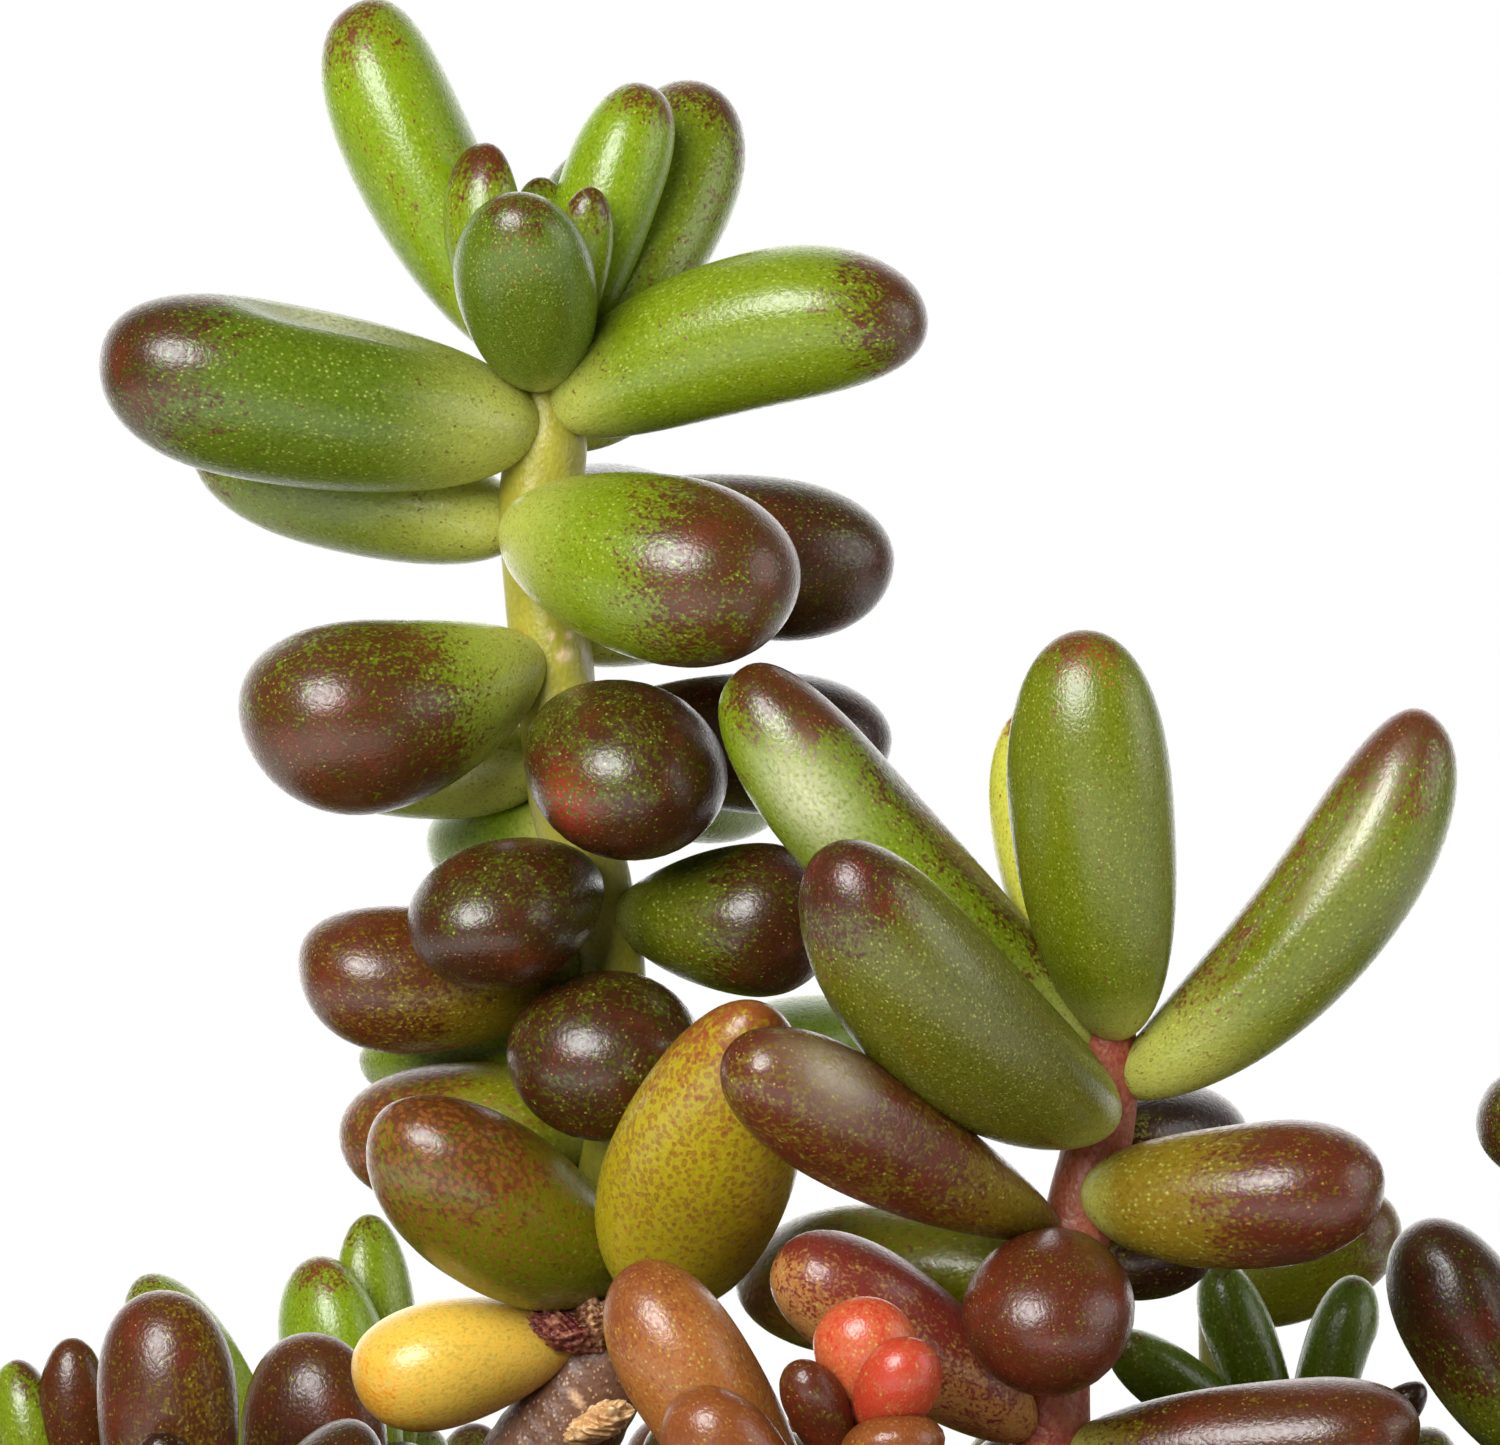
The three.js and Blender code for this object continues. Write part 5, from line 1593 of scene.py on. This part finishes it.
@dataclass(frozen=True)
class StemFinish:
    """Stem skin: fine grains on a pale or pink ground, and brown bark with pale dots on old wood.

    A broad and a fine noise make the speckle by the weights of mottle and shade the skin by those of grain.
    The pale dots sit in the middles of small cells.
    """

    name: str = "stem_skin"
    roughness: float = 0.45
    roughness_swing: float = 0.3
    bump_strength: float = 0.7
    bump: float = 0.00003
    noise_scales: tuple[float, ...] = (1.6, 9.0)
    cell_scale: float = 7.5
    mottle: tuple[float, ...] = (0.8, 1.6)
    mottle_gain: float = 3.0
    speckle_share: float = 0.85
    grain: tuple[float, ...] = (0.8, 1.2)
    tone: float = 0.9
    ground_grain: float = 0.4
    dot_edge: tuple[float, float] = (0.3, 8.0)
    bare_dots: float = 0.2
    dot_share: float = 0.65
    cell_height: float = 0.6
    pale_dot: tuple[float, ...] = linear(204, 168, 132)
    shadow: tuple[float, ...] = linear(40, 26, 16)

    def make(self) -> bpy.types.Material:
        """Builds the material.

        Returns:
            The material.
        """
        graph = Graph(bpy.data.materials.new(self.name))
        place = graph.field("place", "Vector")
        cover, bark = graph.shares("cover", "bark")
        noises = [graph.noise(place, scale, 2.0) for scale in self.noise_scales]
        fine = noises[1]
        speckle = (cover + swing(noises, self.mottle)).contrast(self.mottle_gain)
        tone = (self.tone + swing(noises, self.grain) * (self.ground_grain + bark)).clamp()
        colour = graph.mix(tone, self.shadow, graph.field("ground", "Color"))
        colour = graph.mix(speckle * self.speckle_share, colour, graph.field("flush", "Color"))
        near, _ = graph.cells(place, self.cell_scale)
        dots = near.below(*self.dot_edge) * (self.bare_dots + bark * (1 - self.bare_dots))
        colour = graph.mix(dots * self.dot_share, colour, self.pale_dot)
        height = (self.cell_height - near) * self.cell_height + fine
        roughness = self.roughness + (fine - 0.5) * self.roughness_swing
        return graph.surface(colour, roughness, (self.bump_strength, self.bump, height), {
            "Subsurface Weight": 0.25, "Subsurface Radius": (1.0, 0.7, 0.3), "Subsurface Scale": 0.0007,
        })


@dataclass(frozen=True)
class ClayFinish:
    """Fired clay: warm orange-brown, cloudy, with fine grit, turning lines and a little pale bloom.

    A scale is in cells for each metre, and an edge is where a noise starts to show and how steeply.
    """

    name: str = "fired_clay"
    roughness: float = 0.78
    roughness_swing: float = 0.2
    cloud_scale: float = 60.0
    grit_scale: float = 900.0
    bloom_scale: float = 95.0
    line_scales: tuple[float, float, float] = (6.0, 6.0, 700.0)
    cloud_edge: tuple[float, float] = (0.35, 2.5)
    grit_edge: tuple[float, float] = (0.55, 5.0)
    grit_share: float = 0.45
    bloom_edge: tuple[float, float] = (0.56, 3.0)
    bloom_share: float = 0.16
    bump_strength: float = 0.5
    bump: float = 0.00015
    deep: tuple[float, ...] = linear(166, 84, 50)
    light: tuple[float, ...] = linear(198, 112, 72)
    grit: tuple[float, ...] = linear(132, 62, 38)
    clay_bloom_and_painted_sheen: tuple[float, ...] = linear(226, 190, 164)

    def make(self) -> bpy.types.Material:
        """Builds the material.

        Returns:
            The material.
        """
        graph = Graph(bpy.data.materials.new(self.name))
        place = graph.object_place()
        cloud = graph.noise(place, self.cloud_scale, 5.0)
        grit = graph.noise(place, self.grit_scale, 3.0)
        flat = graph.node("ShaderNodeMapping", None, {"Vector": place, "Scale": self.line_scales})
        lines = graph.noise(flat.outputs[0], 1.0, 3.0)
        colour = graph.mix(cloud.above(*self.cloud_edge), self.deep, self.light)
        colour = graph.mix(grit.above(*self.grit_edge) * self.grit_share, colour, self.grit)
        clay_bloom_and_painted_sheen = graph.noise(place, self.bloom_scale, 6.0)
        colour = graph.mix(clay_bloom_and_painted_sheen.above(*self.bloom_edge) * self.bloom_share, colour, self.clay_bloom_and_painted_sheen)
        height = grit * 0.5 + lines * 0.8 + cloud * 0.4
        roughness = self.roughness + (cloud - 0.5) * self.roughness_swing
        return graph.surface(colour, roughness, (self.bump_strength, self.bump, height))


@dataclass(frozen=True)
class SoilFinish:
    """Potting soil: crumbs of several shades, from a cloudy noise and one whose grains are five times finer.

    The scale is in cells for each metre, and an edge is where a noise starts to show and how steeply.
    """

    name: str = "potting_soil"
    dark: tuple[float, ...] = linear(40, 28, 20)
    light: tuple[float, ...] = linear(104, 76, 52)
    scale: float = 500.0
    finer: float = 5.0
    cloud_edge: tuple[float, float] = (0.38, 3.0)
    grain_edge: tuple[float, float] = (0.6, 6.0)
    grain_share: float = 0.4
    roughness: float = 0.9
    roughness_swing: float = 0.15
    bump_strength: float = 0.8
    bump: float = 0.0002

    def make(self) -> bpy.types.Material:
        """Builds the material.

        Returns:
            The material.
        """
        graph = Graph(bpy.data.materials.new(self.name))
        place = graph.object_place()
        cloud = graph.noise(place, self.scale, 4.0)
        grain = graph.noise(place, self.scale * self.finer, 3.0)
        colour = graph.mix(cloud.above(*self.cloud_edge), self.dark, self.light)
        colour = graph.mix(grain.above(*self.grain_edge) * self.grain_share, colour, self.light)
        height = cloud * 0.6 + grain * 0.5
        roughness = self.roughness + (grain - 0.5) * self.roughness_swing
        return graph.surface(colour, roughness, (self.bump_strength, self.bump, height))


@dataclass
class ClayPot:
    """The pot as one turned wall with a collar and a drainage hole.

    The collar's under side runs from collar_root to collar_lip, each as far inside and below the collar's own
    radius and height. The wall is out of round by an oval wave (height, start) and by turning marks (height,
    waves for each mm), which fade in over the heights and radii of the outside.
    """

    size: PotSize = field(default_factory=PotSize)
    sides: int = 160
    fillet_steps: int = 6
    longest_step: float = 1.5
    collar_root: tuple[float, float] = (2.7, 1.6)
    collar_lip: tuple[float, float] = (0.1, 1.2)
    fillets: tuple[float, ...] = (0.3, 0.7, 0.5, 0.8, 1.1, 0.9, 1.5, 0.3)
    oval: tuple[float, float] = (0.06, 0.8)
    turning_marks: tuple[float, float] = (0.03, 2.2)
    outside_heights: tuple[float, float] = (0.0, 6.0)
    outside_radii: tuple[float, float] = (15.0, 18.0)

    def profile(self) -> np.ndarray:
        """The wall's outline as radius and height, with each corner rounded by an arc.

        Returns:
            One point a row, from the drainage hole's lower edge round the outside and back inside.
        """
        s = self.size
        collar = np.array([s.collar_radius, s.collar_z])
        places = np.array([
            (s.drain_radius, 0.0), (s.foot_radius, 0.0), collar - self.collar_root, collar - self.collar_lip,
            (s.rim_radius, s.height), (s.inner_rim_radius, s.height), (s.inner_floor_radius, s.floor),
            (s.drain_radius, s.floor),
        ])
        outline = []
        for i, (here, radius) in enumerate(zip(places, self.fillets)):
            before, after = unit(places[i - 1] - here), unit(places[(i + 1) % len(places)] - here)
            half = math.acos(float(np.clip(before @ after, -1, 1))) / 2
            centre = here + unit(before + after) * radius / math.sin(half)
            start, end = here + before * radius / math.tan(half), here + after * radius / math.tan(half)
            first, last = start - centre, end - centre
            for share in np.linspace(0, 1, self.fillet_steps):
                outline.append(centre + unit(first * (1 - share) + last * share) * radius)
        dense = []
        for start, end in zip(outline, outline[1:] + outline[:1]):
            steps = max(1, int(np.linalg.norm(end - start) / self.longest_step))
            dense.extend(start + (end - start) * share for share in np.arange(steps) / steps)
        return np.array(dense)

    def surface(self) -> Surface:
        """The outline turned round the pot's axis, out of round by under a tenth of a millimetre.

        Returns:
            The surface.
        """
        outline = self.profile()
        ring, side = np.meshgrid(np.arange(len(outline)), np.arange(self.sides), indexing="ij")
        turn = circle(self.sides)[side]
        radius, z = outline[ring, 0], outline[ring, 1]
        outside = smoothstep(*self.outside_heights, z) * smoothstep(*self.outside_radii, radius)
        oval_height, oval_start = self.oval
        mark_height, marks = self.turning_marks
        radius = radius + outside * oval_height * np.sin(2 * turn + oval_start)
        radius += outside * mark_height * np.sin(z * marks + np.sin(turn))
        points = np.stack([radius * np.cos(turn), radius * np.sin(turn), z], -1).reshape(-1, 3)
        here, up = ring * self.sides, (ring + 1) % len(outline) * self.sides
        after = (side + 1) % self.sides
        faces = np.stack([here + side, here + after, up + after, up + side], -1).reshape(-1, 4)
        return Surface(points, faces.tolist(), {})

    def build(self) -> None:
        """Makes the pot's piece."""
        self.surface().piece("clay_pot", ClayFinish().make(), "fired_clay", ("pot",))


@dataclass
class PottingSoil:
    """The soil: a bed with an uneven top, crumbs on it, and a few white grains.

    The bed's top has fine waves of wave_counts for each mm, whose height falls with their count, and stands
    above the highest bumps of the solids' soil by top_room at most. Crumbs and grains have half sizes from a
    smallest to a largest, small ones oftener the higher size_power is. They sink in by a share of their size
    and keep edge_room from the pot's wall. A lump's points are moved by unevenness and its sides by stretch.
    """

    seed: int = 7
    sides: int = 180
    rings: int = 70
    waves: int = 26
    wave_counts: tuple[float, float] = (1.2, 5.0)
    wave_height: float = 0.09
    wave_shift: float = 6.3
    ring_gap: float = 0.4
    edge_slope: float = 1.5
    top_room: float = 0.2
    edge_room: float = 1.0
    crumbs: int = 1300
    crumb_sizes: tuple[float, float] = (0.25, 0.95)
    crumb_sink: float = 0.35
    white_grains: int = 46
    grain_sizes: tuple[float, float] = (0.4, 0.9)
    grain_sink: float = 0.3
    lump_height: float = 0.8
    size_power: int = 3
    unevenness: tuple[float, float] = (0.6, 1.1)
    stretch: tuple[float, float] = (0.6, 1.2)

    def bed(self) -> Surface:
        """The bed: a round plug whose top rises and falls by two broad waves and finer random ones.

        Returns:
            The surface.
        """
        draw = np.random.default_rng(self.seed)
        edge, bottom = POT.soil_edge, POT.floor + POT.soil_gap
        rim = POT.inner(edge)
        top = np.linspace(rim - self.ring_gap, self.ring_gap, self.rings)
        rings = np.concatenate([[POT.inner(bottom), rim], top])
        radius, turn = np.meshgrid(rings, circle(self.sides), indexing="ij")
        x, y = radius * np.cos(turn), radius * np.sin(turn)
        z = POT.soil_height(x, y)
        for _ in range(self.waves):
            direction = draw.uniform(0, 2 * math.pi)
            count = draw.uniform(*self.wave_counts)
            along = x * math.cos(direction) + y * math.sin(direction)
            z = z + np.sin(count * along + draw.uniform(0, self.wave_shift)) * self.wave_height / count
        z = np.minimum(z, POT.soil_z + POT.soil_bump + self.top_room)
        z = edge + (z - edge) * smoothstep(rim, rim - self.edge_slope, radius)
        z[0] = bottom
        z[1] = edge
        points = np.stack([x, y, z], -1).reshape(-1, 3)
        points = np.concatenate([[[0, 0, bottom]], points, [[0, 0, z[-1].mean()]]])
        return Surface(points, round_faces(len(rings), self.sides), {})

    @staticmethod
    def lump() -> tuple[np.ndarray, np.ndarray]:
        """A round lump: an octahedron whose faces are cut in four, with the new corners moved out.

        Returns:
            Its points and its faces.
        """
        corners = np.array([[1, 0, 0], [-1, 0, 0], [0, 1, 0], [0, -1, 0], [0, 0, 1], [0, 0, -1]], float)
        faces = [[0, 2, 4], [2, 1, 4], [1, 3, 4], [3, 0, 4], [2, 0, 5], [1, 2, 5], [3, 1, 5], [0, 3, 5]]
        points, middle, cut = corners.tolist(), {}, []
        for a, b, c in faces:
            mids = []
            for i, j in ((a, b), (b, c), (c, a)):
                key = (min(i, j), max(i, j))
                if key not in middle:
                    middle[key] = len(points)
                    points.append(unit(corners[i] + corners[j]).tolist())
                mids.append(middle[key])
            cut += [[a, mids[0], mids[2]], [b, mids[1], mids[0]], [c, mids[2], mids[1]], mids]
        return np.array(points), np.array(cut)

    def grains(self, count: int, sizes: tuple[float, float], seed: int, sink: float) -> Surface:
        """Small angular lumps scattered on the bed, with each point moved at random.

        Args:
            count: How many.
            sizes: Smallest and largest half size.
            seed: Picks places and shapes.
            sink: How deep they sit, as a share of their size.

        Returns:
            All the lumps in one surface.
        """
        draw = np.random.default_rng(seed)
        shape, cut = self.lump()
        distance = (POT.inner(POT.soil_edge) - self.edge_room) * np.sqrt(draw.uniform(0, 1, count))
        bearing = draw.uniform(0, 2 * math.pi, count)
        size = sizes[0] + (sizes[1] - sizes[0]) * draw.uniform(0, 1, count) ** self.size_power
        x, y = distance * np.cos(bearing), distance * np.sin(bearing)
        z = np.minimum(POT.soil_height(x, y), POT.soil_z + POT.soil_bump) - size * sink
        uneven = shape * draw.uniform(*self.unevenness, (count, len(shape), 1))
        lumps = uneven * draw.uniform(*self.stretch, (count, 1, 3))
        turn = draw.uniform(0, 2 * math.pi, count)
        cos, sin = np.cos(turn)[:, None], np.sin(turn)[:, None]
        along, across = lumps[..., 0], lumps[..., 1]
        turned = np.stack([along * cos - across * sin, along * sin + across * cos,
                           lumps[..., 2] * self.lump_height], -1)
        placed = turned * size[:, None, None] + np.stack([x, y, z], -1)[:, None]
        starts = (np.arange(count) * len(shape))[:, None, None]
        return Surface(placed.reshape(-1, 3), (cut[None] + starts).reshape(-1, 3).tolist(), {})

    def build(self) -> None:
        """Makes the soil's pieces."""
        soil = SoilFinish().make()
        white = SoilFinish("white_grain", linear(150, 142, 128), linear(226, 222, 212), 900.0).make()
        self.bed().piece("soil_bed", soil, "potting_soil", ("soil",))
        crumbs = self.grains(self.crumbs, self.crumb_sizes, self.seed + 1, self.crumb_sink)
        crumbs.piece("soil_crumbs", soil, "potting_soil", ())
        grains = self.grains(self.white_grains, self.grain_sizes, self.seed + 2, self.grain_sink)
        grains.piece("white_grains", white, "potting_soil", ())


@dataclass(frozen=True)
class Lamp:
    """A soft box: its name, where it stands, its width and its power."""

    name: str
    place: tuple[float, float, float]
    width: float
    power: float

    def build(self, target: np.ndarray) -> None:
        """Makes the light.

        Args:
            target: The point that it faces.
        """
        data = bpy.data.lights.new(self.name, "AREA")
        data.shape = "DISK"
        data.size = self.width * MM
        data.energy = self.power
        lamp = put(self.name, data)
        away = np.array(self.place) - target
        lamp.location = (np.array(self.place) * MM).tolist()
        flat = math.hypot(away[0], away[1])
        lamp.rotation_euler = (math.atan2(flat, away[2]), 0.0, math.atan2(away[0], -away[1]))


@dataclass
class Studio:
    """Camera, lights, white surroundings and a pale floor.

    The surroundings are front_light strong in front of the plant. What they light softly sees them rise to
    back_light over back_rise, in shares of the way to the back, and what mirrors them to mirrored_light over
    mirrored_rise.
    """

    floor_radius: float = 330.0
    floor_sides: int = 96
    floor_fade: tuple[float, float] = (0.45, 2.0)
    floor_colour: tuple[float, ...] = (0.8, 0.8, 0.79, 1.0)
    floor_roughness: float = 0.7
    front_light: float = 0.05
    back_light: float = 2.6
    back_rise: tuple[float, float] = (0.1, 0.7)
    mirrored_light: float = 2.4
    mirrored_rise: tuple[float, float] = (0.5, 0.95)
    clip: tuple[float, float] = (0.01, 10.0)
    target: tuple[float, float, float] = (0.0, 0.0, 60.0)
    lamps: tuple[Lamp, ...] = (
        Lamp("key_light", (-105.0, -230.0, 190.0), 180.0, 1.25),
        Lamp("fill_light", (230.0, -60.0, 110.0), 200.0, 0.2),
    )

    def camera(self) -> None:
        """Makes the camera of the photograph: on the pinhole's place, tilted down by its pitch."""
        data = bpy.data.cameras.new("photo_camera")
        data.sensor_fit = "HORIZONTAL"
        data.sensor_width = VIEW.sensor
        data.lens = VIEW.lens
        data.clip_start, data.clip_end = self.clip
        camera = put("photo_camera", data)
        camera.location = (VIEW.place * MM).tolist()
        camera.rotation_euler = (math.pi / 2 - VIEW.pitch, 0.0, 0.0)
        bpy.context.scene.camera = camera

    def rising(self, graph: Graph, backward: bpy.types.NodeSocket, rise: tuple[float, float],
               light: float) -> bpy.types.NodeSocket:
        """Makes light that rises evenly from the front's strength to another.

        Args:
            graph: The world's nodes.
            backward: How far towards the back a direction points.
            rise: Where it starts and stops to rise.
            light: The strength that it reaches.

        Returns:
            The strength's socket.
        """
        return graph.node("ShaderNodeMapRange", None, {
            "Value": backward, "From Min": rise[0], "From Max": rise[1],
            "To Min": self.front_light, "To Max": light,
        }).outputs[0]

    def surroundings(self) -> None:
        """Makes the world: white to the camera, and for what it lights bright behind and dim in front."""
        graph = Graph(bpy.data.worlds.new("white_studio"))
        bpy.context.scene.world = graph.holder
        place = graph.node("ShaderNodeTexCoord").outputs["Generated"]
        backward = graph.node("ShaderNodeSeparateXYZ", None, {0: place}).outputs["Y"]
        soft = self.rising(graph, backward, self.back_rise, self.back_light)
        mirrored = self.rising(graph, backward, self.mirrored_rise, self.mirrored_light)
        ray = graph.node("ShaderNodeLightPath").outputs
        lit = graph.node("ShaderNodeMix", None, {0: ray["Is Glossy Ray"], 2: soft, 3: mirrored}).outputs[0]
        strength = graph.node("ShaderNodeMix", None, {0: ray["Is Camera Ray"], 2: lit, 3: 1.0}).outputs[0]
        white = {"Color": (1.0, 1.0, 1.0, 1.0), "Strength": strength}
        graph.finish(graph.node("ShaderNodeBackground", None, white), "World")

    def floor(self) -> None:
        """Makes the floor: a pale disc that fades out towards its edge."""
        angle = circle(self.floor_sides)
        points = np.stack([np.cos(angle), np.sin(angle), 0 * angle], -1) * self.floor_radius * MM
        mesh = bpy.data.meshes.new("floor")
        mesh.from_pydata(points.tolist(), [], [list(range(self.floor_sides))])
        graph = Graph(bpy.data.materials.new("pale_floor"))
        place = graph.object_place()
        far = graph.value("ShaderNodeVectorMath", {"operation": "LENGTH"}, {0: place}, "Value")
        fade = (far * (1 / MM / self.floor_radius)).above(*self.floor_fade)
        looks = {"Base Color": self.floor_colour, "Roughness": self.floor_roughness}
        pale = graph.node("ShaderNodeBsdfPrincipled", None, looks)
        clear = graph.node("ShaderNodeBsdfTransparent")
        shaders = {0: fade, 1: pale.outputs[0], 2: clear.outputs[0]}
        mesh.materials.append(graph.finish(graph.node("ShaderNodeMixShader", None, shaders)))
        disc = put("floor", mesh)

    def build(self) -> None:
        """Sets up the whole studio."""
        bpy.context.scene.view_settings.view_transform = "Standard"
        self.camera()
        self.surroundings()
        self.floor()
        for lamp in self.lamps:
            lamp.build(np.array(self.target))


def main() -> None:
    """Builds the studio, the pot, the soil and every shoot."""
    logging.basicConfig(level=logging.INFO, format="%(name)s: %(message)s")
    Studio().build()
    ClayPot().build()
    PottingSoil().build()
    leaf_material = LeafFinish().make()
    stem_material = StemFinish().make()
    for number, shoot in enumerate(GrowthRule().grow()):
        shoot.build(leaf_material, stem_material, number + 1)


if __name__ == "__main__":
    main()
